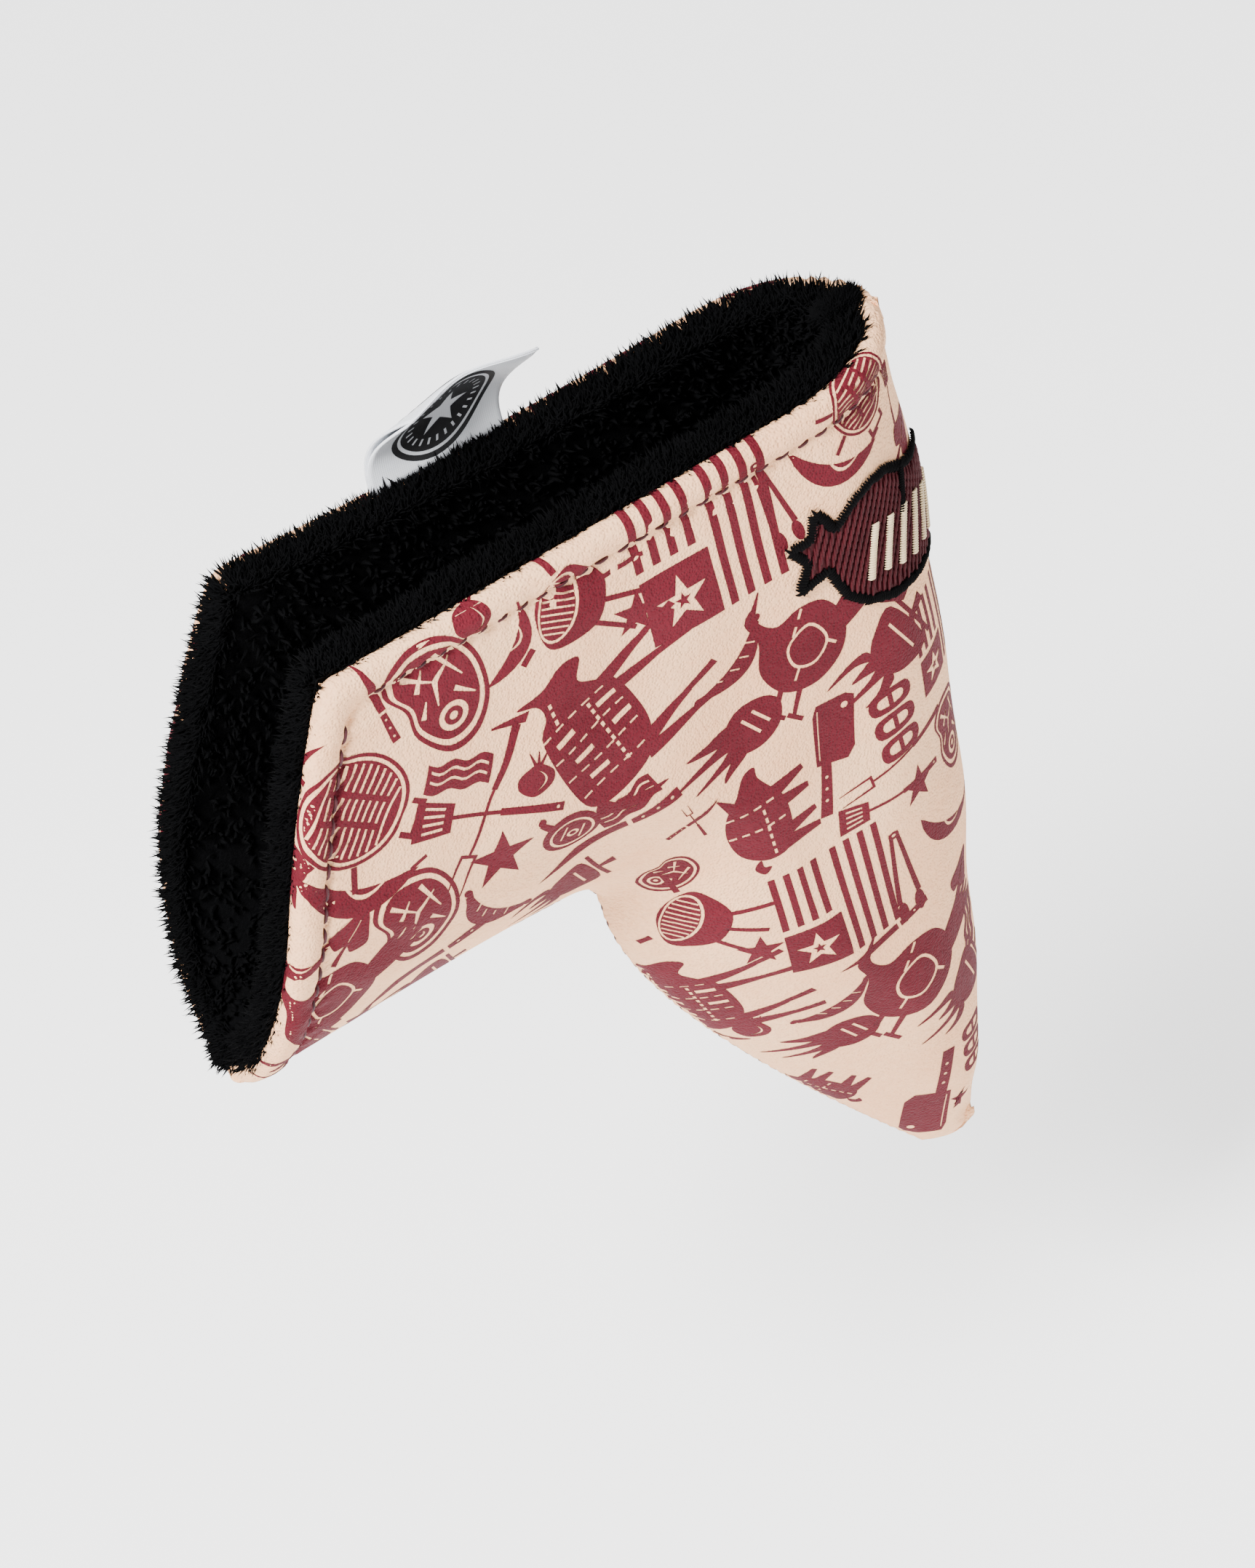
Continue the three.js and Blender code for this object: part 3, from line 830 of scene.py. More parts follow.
INK_LAYER, BARE = True, False
Layers = list[tuple[bool, Array]]


class Drawings:
    """Each motif as layers of ink and bare leather, one unit tall."""

    @staticmethod
    def star() -> Layers:
        """A five-pointed star."""
        return [(INK_LAYER, star_points(0, -0.03, 0.52))]

    @staticmethod
    def steak() -> Layers:
        """A rib steak with its fat edge, marbling and bone."""
        edge = [
            (-0.05, 0.5), (0.22, 0.4), (0.36, 0.1), (0.32, -0.25), (0.12, -0.5), (-0.14, -0.48), (-0.3, -0.2),
                (-0.28, 0.05), (-0.36, 0.28), (-0.25, 0.46)]
        line = smooth_closed(edge)
        meat = line * 0.8
        layers = [(INK_LAYER, line), (BARE, line * 0.9), (INK_LAYER, meat)]
        layers += [(BARE, ellipse(0.0, -0.24, 0.12, 0.12)), (INK_LAYER, ellipse(0.0, -0.24, 0.075, 0.075))]
        layers += [(BARE, ellipse(0.0, -0.24, 0.035, 0.035))]
        veins = [
            (-0.2, 0.3, 0.0, 0.1), (0.0, 0.1, 0.18, 0.2), (0.0, 0.1, -0.06, -0.08), (-0.15, 0.12, -0.04, 0.26),
                 (0.08, 0.32, 0.2, 0.0), (0.1, -0.05, 0.22, -0.2), (-0.2, -0.1, -0.12, 0.02)]
        return layers + [(BARE, bar(*vein, 0.045, 0.012)) for vein in veins]

    @staticmethod
    def grate(x: float, y: float, wide: float, tall: float, bars: int, thick: float) -> Layers:
        """Bare bars across an ellipse."""
        layers = []
        for place in np.linspace(-0.78, 0.78, bars):
            reach = tall * math.sqrt(1 - place**2) * 0.94
            layers.append((BARE, bar(x + wide * place, y - reach, x + wide * place, y + reach, thick)))
        return layers

    @classmethod
    def kettle(cls) -> Layers:
        """A kettle grill on three legs, seen from above its grate."""
        bowl = smooth_closed(
            [(-0.3, 0.2), (0.0, 0.34), (0.3, 0.2), (0.3, 0.02), (0.16, -0.18), (-0.14, -0.18), (-0.3, 0.02)]
        )
        legs = [(-0.16, -0.14, -0.26, -0.5), (0.0, -0.16, 0.02, -0.5), (0.16, -0.14, 0.3, -0.46)]
        layers = [(INK_LAYER, bar(*leg, 0.04)) for leg in legs] + [(INK_LAYER, bowl)]
        layers += [(BARE, ellipse(0, 0.16, 0.28, 0.155)), (INK_LAYER, ellipse(0, 0.165, 0.255, 0.135))]
        layers += cls.grate(0, 0.165, 0.255, 0.135, 9, 0.016)
        layers += [
            (INK_LAYER, bar(0.28, 0.26, 0.46, 0.42, 0.05)), (INK_LAYER, bar(-0.3, 0.3, -0.42, 0.36, 0.05))
        ]
        return layers

    @classmethod
    def grill(cls) -> Layers:
        """A round table grill with two handles and feet."""
        layers = [(INK_LAYER, ellipse(0, 0, 0.46, 0.46, 40)), (BARE, ellipse(0, 0, 0.43, 0.43, 40))]
        layers += [(INK_LAYER, ellipse(0, 0, 0.4, 0.4, 40))] + cls.grate(0, 0, 0.4, 0.4, 11, 0.022)
        layers += [
            (INK_LAYER, bar(-0.3, -0.1, 0.3, -0.1, 0.05)), (INK_LAYER, bar(-0.3, 0.12, 0.3, 0.12, 0.05))
        ]
        for way in (-1, 1):
            handle = [(way * 0.48, -0.16), (way * 0.6, -0.16), (way * 0.6, 0.16), (way * 0.48, 0.16)]
            layers += [(INK_LAYER, np.array(handle)), (BARE, np.array(handle) * [0.94, 0.7])]
            layers.append((INK_LAYER, bar(way * 0.2, -0.42, way * 0.3, -0.62, 0.05)))
        return layers

    @staticmethod
    def cuts(lines: list, dash: float = 0.03, wide: float = 0.013) -> Layers:
        """Bare dashed lines, as on a butcher's chart."""
        layers = []
        for x0, y0, x1, y1 in lines:
            start, along = np.array([x0, y0]), np.array([x1 - x0, y1 - y0])
            count = max(int(np.linalg.norm(along) / dash / 1.7), 1)
            for k in range(count):
                a, b = start + along * k / count, start + along * (k + 0.6) / count
                layers.append((BARE, bar(*a, *b, wide)))
        return layers

    @classmethod
    def cow(cls) -> Layers:
        """A cow from the side, head up the drawing, with its cuts."""
        body = [
            (-0.2, -0.36), (-0.22, -0.1), (-0.2, 0.2), (-0.14, 0.3), (-0.14, 0.4), (-0.2, 0.47), (-0.1, 0.46),
                (0.0, 0.5), (0.07, 0.46), (0.02, 0.36), (0.06, 0.28), (0.12, 0.2), (0.14, 0.0),
                (0.13, -0.2),
                (0.06, -0.36), (-0.08, -0.42)]
        layers = [(INK_LAYER, smooth_closed(body)), (INK_LAYER, bar(-0.18, 0.4, -0.3, 0.5, 0.05, 0.01))]
        for y, lean in ((0.22, 0.06), (0.14, -0.02), (-0.28, 0.06), (-0.34, -0.02)):
            layers += [
                (INK_LAYER, bar(0.06, y, 0.3, y + lean, 0.09, 0.035)),
                (INK_LAYER, bar(0.28, y + lean, 0.42, y + lean * 1.6, 0.035, 0.045))
            ]
        layers.append(
            (
                INK_LAYER,
                smooth_closed(
                    [
                        (-0.16, -0.36), (-0.2, -0.46), (-0.08, -0.56), (0.06, -0.58), (0.0, -0.54),
                        (-0.12, -0.46)
                    ]
                )
            )
        )
        layers += cls.cuts([(-0.2, 0.2, 0.1, 0.2), (-0.21, 0.04, 0.13, 0.04), (-0.21, -0.12, 0.13, -0.12),
                            (-0.2, -0.28, 0.1, -0.26), (0.0, -0.28, 0.0, 0.2), (-0.12, 0.22, -0.1, 0.38)])
        blocks = [(-0.15, 0.12), (-0.13, -0.04), (-0.12, -0.2), (0.04, 0.12), (0.05, -0.04)]
        layers += [(BARE, bar(x - 0.02, y, x + 0.06, y, 0.035)) for x, y in blocks]
        return [(ink, shape * [1.5, 1]) for ink, shape in layers]

    @classmethod
    def pig(cls) -> Layers:
        """A pig from the side, snout up the drawing, with its cuts."""
        body = [
            (-0.22, -0.3), (-0.28, -0.05), (-0.24, 0.2), (-0.14, 0.34), (-0.04, 0.48), (0.06, 0.5), (0.06, 0.4),
                (0.14, 0.24), (0.2, 0.1), (0.2, -0.15), (0.14, -0.36), (-0.04, -0.42)]
        layers = [(INK_LAYER, smooth_closed(body)), (INK_LAYER, bar(-0.18, 0.26, -0.28, 0.42, 0.1, 0.01))]
        for y, lean in ((0.2, 0.05), (0.08, -0.01), (-0.22, 0.05), (-0.32, -0.02)):
            layers.append((INK_LAYER, bar(0.12, y, 0.4, y + lean, 0.13, 0.05)))
        layers.append(
            (
                INK_LAYER,
                smooth_closed([(-0.1, -0.4), (-0.16, -0.48), (-0.1, -0.56), (-0.04, -0.5), (-0.09, -0.48)])
            )
        )
        return layers + cls.cuts(
            [(-0.26, 0.14, 0.16, 0.16), (-0.27, -0.08, 0.2, -0.06), (0.02, -0.38, 0.02, 0.14)], 0.05, 0.022
        )

    @classmethod
    def chicken(cls) -> Layers:
        """A hen from the side, head down the drawing, with its cuts."""
        body = [
            (0.0, -0.36), (0.2, -0.24), (0.3, 0.0), (0.22, 0.24), (0.02, 0.34), (-0.18, 0.26), (-0.28, 0.04),
                (-0.22, -0.14), (-0.1, -0.26), (-0.12, -0.42), (-0.2, -0.5), (-0.1, -0.52)]
        layers = [(INK_LAYER, smooth_closed(body)), (INK_LAYER, bar(-0.12, -0.48, -0.3, -0.5, 0.06, 0.01))]
        for angle in (0.35, 0.62, 0.9, 1.2):
            tip = (-0.34 - 0.2 * math.cos(angle), 0.16 + 0.38 * math.sin(angle))
            layers.append((INK_LAYER, bar(-0.1, 0.18, *tip, 0.16, 0.03)))
        for y in (-0.05, 0.1):
            layers += [
                (INK_LAYER, bar(0.2, y, 0.46, y + 0.06, 0.05, 0.03)),
                (INK_LAYER, bar(0.44, y, 0.46, y + 0.14, 0.03))
            ]
        ring = smooth_closed([(-0.14, -0.02), (0.02, -0.12), (0.14, 0.0), (0.1, 0.16), (-0.06, 0.18)])
        layers += [(BARE, ring), (INK_LAYER, ring * 0.86 + [0.0, 0.004])]
        layers += cls.cuts(
            [(-0.22, -0.12, 0.0, -0.1), (0.14, 0.04, 0.28, 0.06), (-0.04, 0.18, -0.02, 0.32)], 0.05, 0.02
        )
        return [(ink, shape * [1.2, 1]) for ink, shape in layers]

    @staticmethod
    def cleaver() -> Layers:
        """A cleaver with a pierced blade and a riveted handle."""
        blade = np.array(
            [
                (-0.16, -0.02), (0.1, -0.06), (0.16, 0.02), (0.17, 0.46), (0.1, 0.5), (-0.14, 0.49),
                (-0.17, 0.4)
            ]
        )
        layers = [
            (INK_LAYER, blade), (BARE, ellipse(0.09, 0.4, 0.028, 0.028, 12)),
            (INK_LAYER, bar(-0.08, -0.02, -0.1, -0.48, 0.085, 0.1))
        ]
        layers += [(BARE, bar(-0.13, 0.02, -0.13, 0.44, 0.01))]
        return layers + [
            (BARE, ellipse(-0.085 - 0.004 * k, -0.14 - 0.1 * k, 0.014, 0.014, 10)) for k in range(3)
        ]

    @staticmethod
    def banner() -> Layers:
        """A block with a star and rows of stripes."""
        layers = [(INK_LAYER, np.array([(-0.36, -0.5), (0.06, -0.5), (0.06, -0.08), (-0.36, -0.08)]))]
        layers += [(BARE, star_points(-0.15, -0.3, 0.16)), (INK_LAYER, star_points(-0.15, -0.3, 0.05))]
        layers += [(INK_LAYER, bar(x, -0.5, x, 0.5, 0.048)) for x in (0.13, 0.235, 0.34, 0.445)]
        return layers + [(INK_LAYER, bar(x, -0.02, x, 0.5, 0.048)) for x in (-0.335, -0.23, -0.125, -0.02)]

    @staticmethod
    def tongs() -> Layers:
        """Sprung tongs with scalloped ends."""
        layers = [(INK_LAYER, bar(way * 0.025, 0.5, way * 0.1, -0.3, 0.035, 0.05)) for way in (-1, 1)]
        layers += [(INK_LAYER, ellipse(way * 0.085, -0.4, 0.05, 0.11, 14)) for way in (-1, 1)]
        return layers + [
            (INK_LAYER, ellipse(0, 0.47, 0.05, 0.04, 12)), (BARE, ellipse(0, 0.47, 0.02, 0.016, 10))
        ]

    @staticmethod
    def chilli() -> Layers:
        """A chilli with its stalk and a highlight."""
        layers = [
            (INK_LAYER, crescent(0.24, 0.105)), (BARE, crescent(0.24, 0.018) * [1, 0.5] + [-0.045, 0.08])
        ]
        return layers + [(INK_LAYER, bar(-0.14, 0.44, -0.24, 0.54, 0.03))]

    @staticmethod
    def sausage() -> Layers:
        """A bent sausage with grill marks."""
        layers = [
            (INK_LAYER, crescent(0.2, 0.11, 0.45)), (INK_LAYER, ellipse(-0.14, 0.52, 0.04, 0.05, 10)),
            (INK_LAYER, ellipse(-0.14, -0.52, 0.04, 0.05, 10))
        ]
        return layers + [
            (BARE, bar(-0.0 - abs(y) * 0.3, y, 0.1 - abs(y) * 0.3, y + 0.06, 0.02))
            for y in (-0.24, -0.08, 0.08, 0.24)
        ]

    @staticmethod
    def spatula() -> Layers:
        """A slotted spatula on a long handle."""
        head = np.array([(-0.09, 0.24), (0.09, 0.24), (0.13, 0.5), (-0.13, 0.5)])
        layers = [
            (INK_LAYER, head), (INK_LAYER, bar(0, 0.25, 0, -0.1, 0.025)),
            (INK_LAYER, bar(0, -0.08, 0, -0.5, 0.045, 0.055))
        ]
        layers += [(BARE, bar(x, 0.3, x * 1.3, 0.44, 0.018)) for x in (-0.06, -0.02, 0.02, 0.06)]
        return layers + [(BARE, ellipse(0, -0.46, 0.012, 0.012, 8))]

    @staticmethod
    def fork() -> Layers:
        """A long carving fork."""
        layers = [
            (INK_LAYER, bar(0, -0.5, 0, -0.14, 0.05, 0.035)), (INK_LAYER, bar(0, -0.16, 0, 0.24, 0.018))
        ]
        layers += [(INK_LAYER, bar(-0.05, 0.24, 0.05, 0.24, 0.022))]
        return layers + [(INK_LAYER, bar(x, 0.23, x * 1.1, 0.5, 0.02, 0.006)) for x in (-0.045, 0.045)]

    @staticmethod
    def knife() -> Layers:
        """A boning knife."""
        blade = np.array([(-0.03, -0.14), (0.045, -0.14), (0.05, 0.2), (-0.02, 0.5), (-0.03, 0.3)])
        layers = [(INK_LAYER, blade), (INK_LAYER, bar(0, -0.17, 0, -0.5, 0.065, 0.085))]
        return layers + [(BARE, ellipse(0, y, 0.013, 0.013, 8)) for y in (-0.24, -0.34, -0.44)]

    @staticmethod
    def bacon() -> Layers:
        """A waved rasher."""
        t = np.linspace(-0.5, 0.5, 15)
        wave = 0.035 * np.sin(t * 14)
        left, right = np.stack([wave - 0.22, t], -1), np.stack([wave + 0.22, t], -1)
        layers = [(INK_LAYER, np.vstack([right, left[::-1]]))]
        for x in (-0.1, 0.05):
            stripe = np.vstack(
                [
                    np.stack([wave + x + 0.022, t * 0.88], -1),
                    np.stack([wave + x - 0.022, t * 0.88], -1)[::-1]
                ]
            )
            layers.append((BARE, stripe))
        return layers

    @staticmethod
    def onion() -> Layers:
        """An onion with leaves."""
        layers = [
            (
                INK_LAYER,
                smooth_closed(
                    [
                        (0, -0.5), (0.34, -0.3), (0.36, 0.0), (0.08, 0.22), (-0.08, 0.22), (-0.36, 0.0),
                        (-0.34, -0.3)
                    ]
                )
            )
        ]
        layers += [(INK_LAYER, bar(0, 0.1, x, 0.5, 0.1, 0.02)) for x in (-0.2, 0.0, 0.2)]
        return layers + [(BARE, crescent(0.2, 0.022) * [1, 0.5] + [0.14, -0.16])]

    @staticmethod
    def ham() -> Layers:
        """A ham on its bone."""
        layers = [
            (INK_LAYER, ellipse(0, 0.05, 0.36, 0.42)), (BARE, ellipse(0.03, 0.08, 0.28, 0.33)),
            (INK_LAYER, ellipse(0.03, 0.08, 0.24, 0.29))
        ]
        layers += [
            (BARE, ellipse(0.04, 0.1, 0.08, 0.09, 12)), (INK_LAYER, ellipse(0.04, 0.1, 0.04, 0.05, 10))
        ]
        layers += [(BARE, bar(-0.12, 0.2, 0.16, 0.26, 0.03)), (BARE, bar(-0.1, -0.06, 0.18, -0.02, 0.03))]
        return layers + [
            (INK_LAYER, bar(-0.12, -0.3, -0.22, -0.52, 0.12, 0.08)),
            (INK_LAYER, ellipse(-0.26, -0.52, 0.06, 0.06, 10))
        ]

    @staticmethod
    def flame() -> Layers:
        """A roast with flames that stream from it."""
        layers = [
            (
                INK_LAYER,
                smooth_closed(
                    [
                        (0.0, 0.5), (0.16, 0.4), (0.2, 0.2), (0.1, 0.02), (-0.1, 0.02), (-0.2, 0.2),
                        (-0.14, 0.42)
                    ]
                )
            )
        ]
        for x, y, wide in (
            (-0.2, -0.28, 0.12), (-0.06, -0.5, 0.14), (0.1, -0.38, 0.12), (0.22, -0.16, 0.09)
        ):
            layers.append(
                (
                    INK_LAYER,
                    smooth_closed(
                        [
                            (x * 0.5 - wide / 2, 0.1), (x * 0.8 - 0.02, -0.1), (x, y),
                            (x * 0.7 + 0.05, -0.08), (x * 0.5 + wide / 2, 0.1)
                        ]
                    )
                )
            )
        return layers + [
            (BARE, bar(-0.1, 0.3, 0.08, 0.36, 0.025)), (BARE, bar(-0.1, 0.2, 0.1, 0.26, 0.025))
        ]

    @classmethod
    def fire(cls) -> Layers:
        """A kettle with flames under it."""
        layers = [
            (
                INK_LAYER,
                smooth_closed(
                    [(-0.26, 0.3), (0.26, 0.3), (0.24, 0.08), (0.1, -0.06), (-0.1, -0.06), (-0.24, 0.08)]
                )
            )
        ]
        layers += [
            (INK_LAYER, bar(-0.3, 0.36, 0.3, 0.36, 0.035)), (INK_LAYER, bar(0.0, 0.36, 0.0, 0.5, 0.05, 0.1))
        ]
        for x, y in ((-0.22, -0.4), (-0.08, -0.26), (0.04, -0.5), (0.18, -0.32)):
            layers.append(
                (
                    INK_LAYER,
                    smooth_closed(
                        [
                            (x * 0.7 - 0.05, -0.04), (x - 0.02, -0.18), (x, y), (x + 0.04, -0.16),
                            (x * 0.7 + 0.06, -0.04)
                        ]
                    )
                )
            )
        return layers + [(BARE, bar(-0.18, 0.2, 0.18, 0.2, 0.022))]

    @staticmethod
    def leaf() -> Layers:
        """A herb leaf with its rib."""
        layers = [
            (
                INK_LAYER,
                smooth_closed(
                    [
                        (0, 0.5), (0.2, 0.2), (0.34, -0.06), (0.16, -0.24), (0, -0.14), (-0.16, -0.24),
                        (-0.34, -0.06), (-0.2, 0.2)
                    ]
                )
            )
        ]
        return layers + [(INK_LAYER, bar(0, -0.1, 0, -0.5, 0.04, 0.1)), (BARE, bar(0, 0.3, 0, -0.08, 0.02))]

    @staticmethod
    def links() -> Layers:
        """Three racks of ribs in a row."""
        layers: Layers = []
        for y in (-0.33, 0.0, 0.33):
            outer = smooth_closed(
                [(-0.22, y - 0.12), (0.22, y - 0.12), (0.22, y + 0.12), (-0.22, y + 0.12)]
            )
            layers += [
                (INK_LAYER, outer), (BARE, outer * [0.62, 0.5] + [0, y * 0.5]),
                (INK_LAYER, bar(0, y - 0.1, 0, y + 0.1, 0.06))
            ]
        return layers

    @classmethod
    def crossed(cls) -> Layers:
        """A crossed fork and knife."""
        turned: Layers = []
        for layers, angle in ((cls.fork(), 0.6), (cls.knife(), -0.6)):
            c, s = math.cos(angle), math.sin(angle)
            turned += [(ink, shape @ np.array([[c, s], [-s, c]])) for ink, shape in layers]
        return turned


@dataclass(frozen=True)
class Printed:
    """A motif at a place of the outline, with its height and the way it points."""

    motif: Motif
    x: float
    z: float
    tall: float
    turn: float


M = Motif
UPPER = [
    Printed(M.STEAK, -75.8, 140.6, 18.5, 104), Printed(M.BACON, -76, 127.4, 10, -20),
    Printed(M.ONION, -65.4, 121, 7, 75),
    Printed(M.FORK, -73.5, 118.8, 26, -123), Printed(M.SPATULA, -73, 118.8, 23, 155),
    Printed(M.STAR, -72.3, 110.6, 9.6, 83),
    Printed(M.HAM, -62.3, 108.4, 10.5, -25), Printed(M.KNIFE, -56.5, 103.4, 22, -162),
    Printed(M.BACON, -53.4, 108.4, 9, 24),
    Printed(M.PIG, -34.6, 94, 19, 98), Printed(M.CLEAVER, -22.4, 98, 19.5, 85),
    Printed(M.FLAME, -38, 108.4, 19, 22),
    Printed(M.SAUSAGE, -34.6, 121, 13, 40), Printed(M.CHICKEN, -24.8, 119, 20, -31),
    Printed(M.FIRE, -13.2, 109.4, 20, 30),
    Printed(M.STAR, -47, 137, 7, 80), Printed(M.KETTLE, -54.6, 142.6, 19, 160),
    Printed(M.BANNER, -37, 143, 25, 93),
    Printed(M.TONGS, -25.2, 142.4, 16, 104), Printed(M.CHILLI, -15.8, 143.4, 15, -22),
    Printed(M.SPATULA, -3.4, 144, 11, 86),
    Printed(M.CHILLI, -64.4, 141, 12, 55), Printed(M.KNIFE, -84.6, 144.4, 15, 102),
    Printed(M.GRILL, -91.2, 130.4, 18, 53),
    Printed(M.CHILLI, -94, 118.6, 19, -27), Printed(M.LEAF, -95.6, 112, 9.5, 50),
    Printed(M.STEAK, -85.6, 108.4, 17.5, 95),
    Printed(M.SAUSAGE, -74.4, 100.4, 15, -50), Printed(M.CHICKEN, -99.5, 101.4, 21, -30),
    Printed(M.KNIFE, -84, 95.4, 22, 200),
    Printed(M.COW, -54.6, 122.6, 26, 110), Printed(M.LINKS, -12.6, 98.2, 13, 96),
    Printed(M.STAR, -10.2, 85.2, 6.4, 84),
    Printed(M.FORK, -13, 91.5, 20, -170), Printed(M.SPATULA, -14.5, 86, 18, 178),
    Printed(M.GRILL, -9.6, 150.6, 12, 20),
    Printed(M.FIRE, -62.5, 93.4, 17, 25), Printed(M.CROSSED, -44, 98.8, 9.5, 75),
    Printed(M.STEAK, -46.4, 86.4, 9, 40), Printed(M.BACON, -7.5, 122, 11, 60),
    Printed(M.BANNER, -2.4, 106, 16, 95),
    Printed(M.KNIFE, -99.6, 139.4, 15, 24), Printed(M.FLAME, -103.4, 124, 13, 60),
    Printed(M.ONION, -69.4, 149.6, 7, 80),
    Printed(M.CHILLI, -104.6, 112.4, 11, -20),
    Printed(M.FIRE, -84, 86, 16, 20), Printed(M.STAR, -93.6, 90, 7, 60), Printed(M.FIRE, -104, 90, 15, 30),
    Printed(M.LEAF, -1, 138, 9, 30), Printed(M.HAM, -64, 84.4, 10, 30),
]
LEG = [
    Printed(M.KETTLE, -42.8, 75.4, 18, 160), Printed(M.STAR, -36.2, 68.4, 6.6, 90),
    Printed(M.BANNER, -26.4, 72.4, 20.5, 97),
    Printed(M.TONGS, -14.4, 71, 18, 98), Printed(M.CHILLI, -5.6, 73.6, 14, -25),
    Printed(M.COW, -42.6, 56, 24, 112),
    Printed(M.SAUSAGE, -25.6, 50.4, 12.5, 38), Printed(M.CHICKEN, -14.6, 50.6, 23, -31),
    Printed(M.FLAME, -28, 40, 18, 22), Printed(M.FIRE, -5.4, 38.6, 20, 30),
    Printed(M.CLEAVER, -11, 16, 25, -94),
    Printed(M.PIG, -25.6, 26, 16, 150), Printed(M.LINKS, -2.4, 24.4, 12, 94),
    Printed(M.LEAF, -3.2, 60.4, 9, 60),
    Printed(M.ONION, -35.8, 48, 7, 75), Printed(M.KNIFE, -18.4, 61.4, 16, -165),
    Printed(M.STEAK, -1.4, 87, 13, 90),
    Printed(M.STAR, -4, 12, 6, 84), Printed(M.BACON, -1.6, 49.6, 10, 80),
]
BIG = (M.STEAK, M.PIG, M.CHICKEN, M.FIRE, M.KETTLE, M.FLAME)
SMALL = (M.BACON, M.ONION, M.STAR, M.CHILLI, M.SAUSAGE, M.HAM, M.LEAF)


class Print:
    """The maroon print, which lies on the leather as thin ink."""

    lift: float = 0.05
    hem_lift: float = 0.1
    pitch: float = 0.85
    hem_pitch: float = 0.55
    hem_reach: float = 16
    channel_reach: float = 1.3

    def shuffled(self, motif: Motif) -> Motif:
        """The motif that the back wall has where the front wall has this one."""
        for group in (BIG, SMALL):
            if motif in group:
                return group[(group.index(motif) + 2) % len(group)]
        return motif

    def triangles(self, printed: Printed) -> tuple[Array, Array]:
        """Cuts one motif into triangles of ink on the flat leather.

        Args:
            printed: The motif and its place.

        Returns:
            Corners on the flat leather, and corner numbers of the triangles.
        """
        layers = getattr(Drawings, printed.motif.value)()
        angle = math.radians(printed.turn - 90)
        turn = np.array(
            [[math.cos(angle), math.sin(angle)], [-math.sin(angle), math.cos(angle)]]
        ) * printed.tall
        centre = PATTERN.flatten(np.array([[printed.x, printed.z]]))[0]
        points, faces = [], []
        near = PATTERN.mouth(np.array([[printed.x, printed.z]]))[0][0] < self.hem_reach
        pitch = self.hem_pitch if near else self.pitch
        for _, shape in layers:
            line = turned_left(shape @ turn + centre)
            dense = []
            for a, b in zip(line, np.roll(line, -1, axis=0)):
                steps = max(int(np.linalg.norm(b - a) / pitch), 1)
                dense += [a + (b - a) * k / steps for k in range(steps)]
            faces.append(list(range(len(points), len(points) + len(dense))))
            points += dense
        outline = np.array(points)
        low, high = outline.min(0), outline.max(0)
        xs, zs = np.meshgrid(*(np.arange(low[k] + 0.31, high[k], pitch) for k in (0, 1)))
        points += list(np.stack([xs.ravel(), zs.ravel()], -1))
        cut = delaunay_2d_cdt([Vector(p) for p in points], [], faces, 0, 1e-4, True)
        kept = [f for f, ids in zip(cut[2], cut[5]) if ids and layers[max(ids)][0]]
        return np.array([tuple(v) for v in cut[0]]), np.array(kept).reshape(-1, 3)

    def build(self, side: Side) -> bpy.types.Object:
        """Prints one wall.

        Args:
            side: The wall.

        Returns:
            The ink, as one piece.
        """
        all_points, all_faces, count = [], [], 0
        for printed in UPPER + LEG:
            motif = printed.motif if side is Side.FRONT else self.shuffled(printed.motif)
            points, faces = self.triangles(Printed(motif, printed.x, printed.z, printed.tall, printed.turn))
            all_points.append(points)
            all_faces.append(faces + count)
            count += len(points)
        flat, faces = np.vstack(all_points), np.vstack(all_faces)
        used = np.unique(faces)
        faces = np.searchsorted(used, faces)
        flat = flat[used]
        places, across = PATTERN.sew(flat)
        solid = np.zeros((len(flat), 3))
        inside = PATTERN.mouth(places)[0]
        lift = self.lift + self.hem_lift * np.exp(-(((inside - PATTERN.hem) / self.channel_reach) ** 2))
        for way in (-1.0, 1.0):
            pick = across == way
            if pick.any():
                solid[pick] = PATTERN.surface(places[pick], side.value * way, lift[pick])
        seam = PATTERN.seam.measure(places)[0]
        gone = (seam < 0.15) | (places[:, 0] < -125)
        faces = faces[~gone[faces].any(1)]
        if side is Side.BACK:
            faces = faces[:, ::-1]
        made = make_object(f"print_{side.name.lower()}", solid, faces)
        made.data.materials.append(MATERIALS["ink"])
        shade_smooth(made)
        across_fold(made, side)
        return made


MATERIALS: dict[str, bpy.types.Material] = {}


# ---------------------------------------------------------------- leather, foam and plush


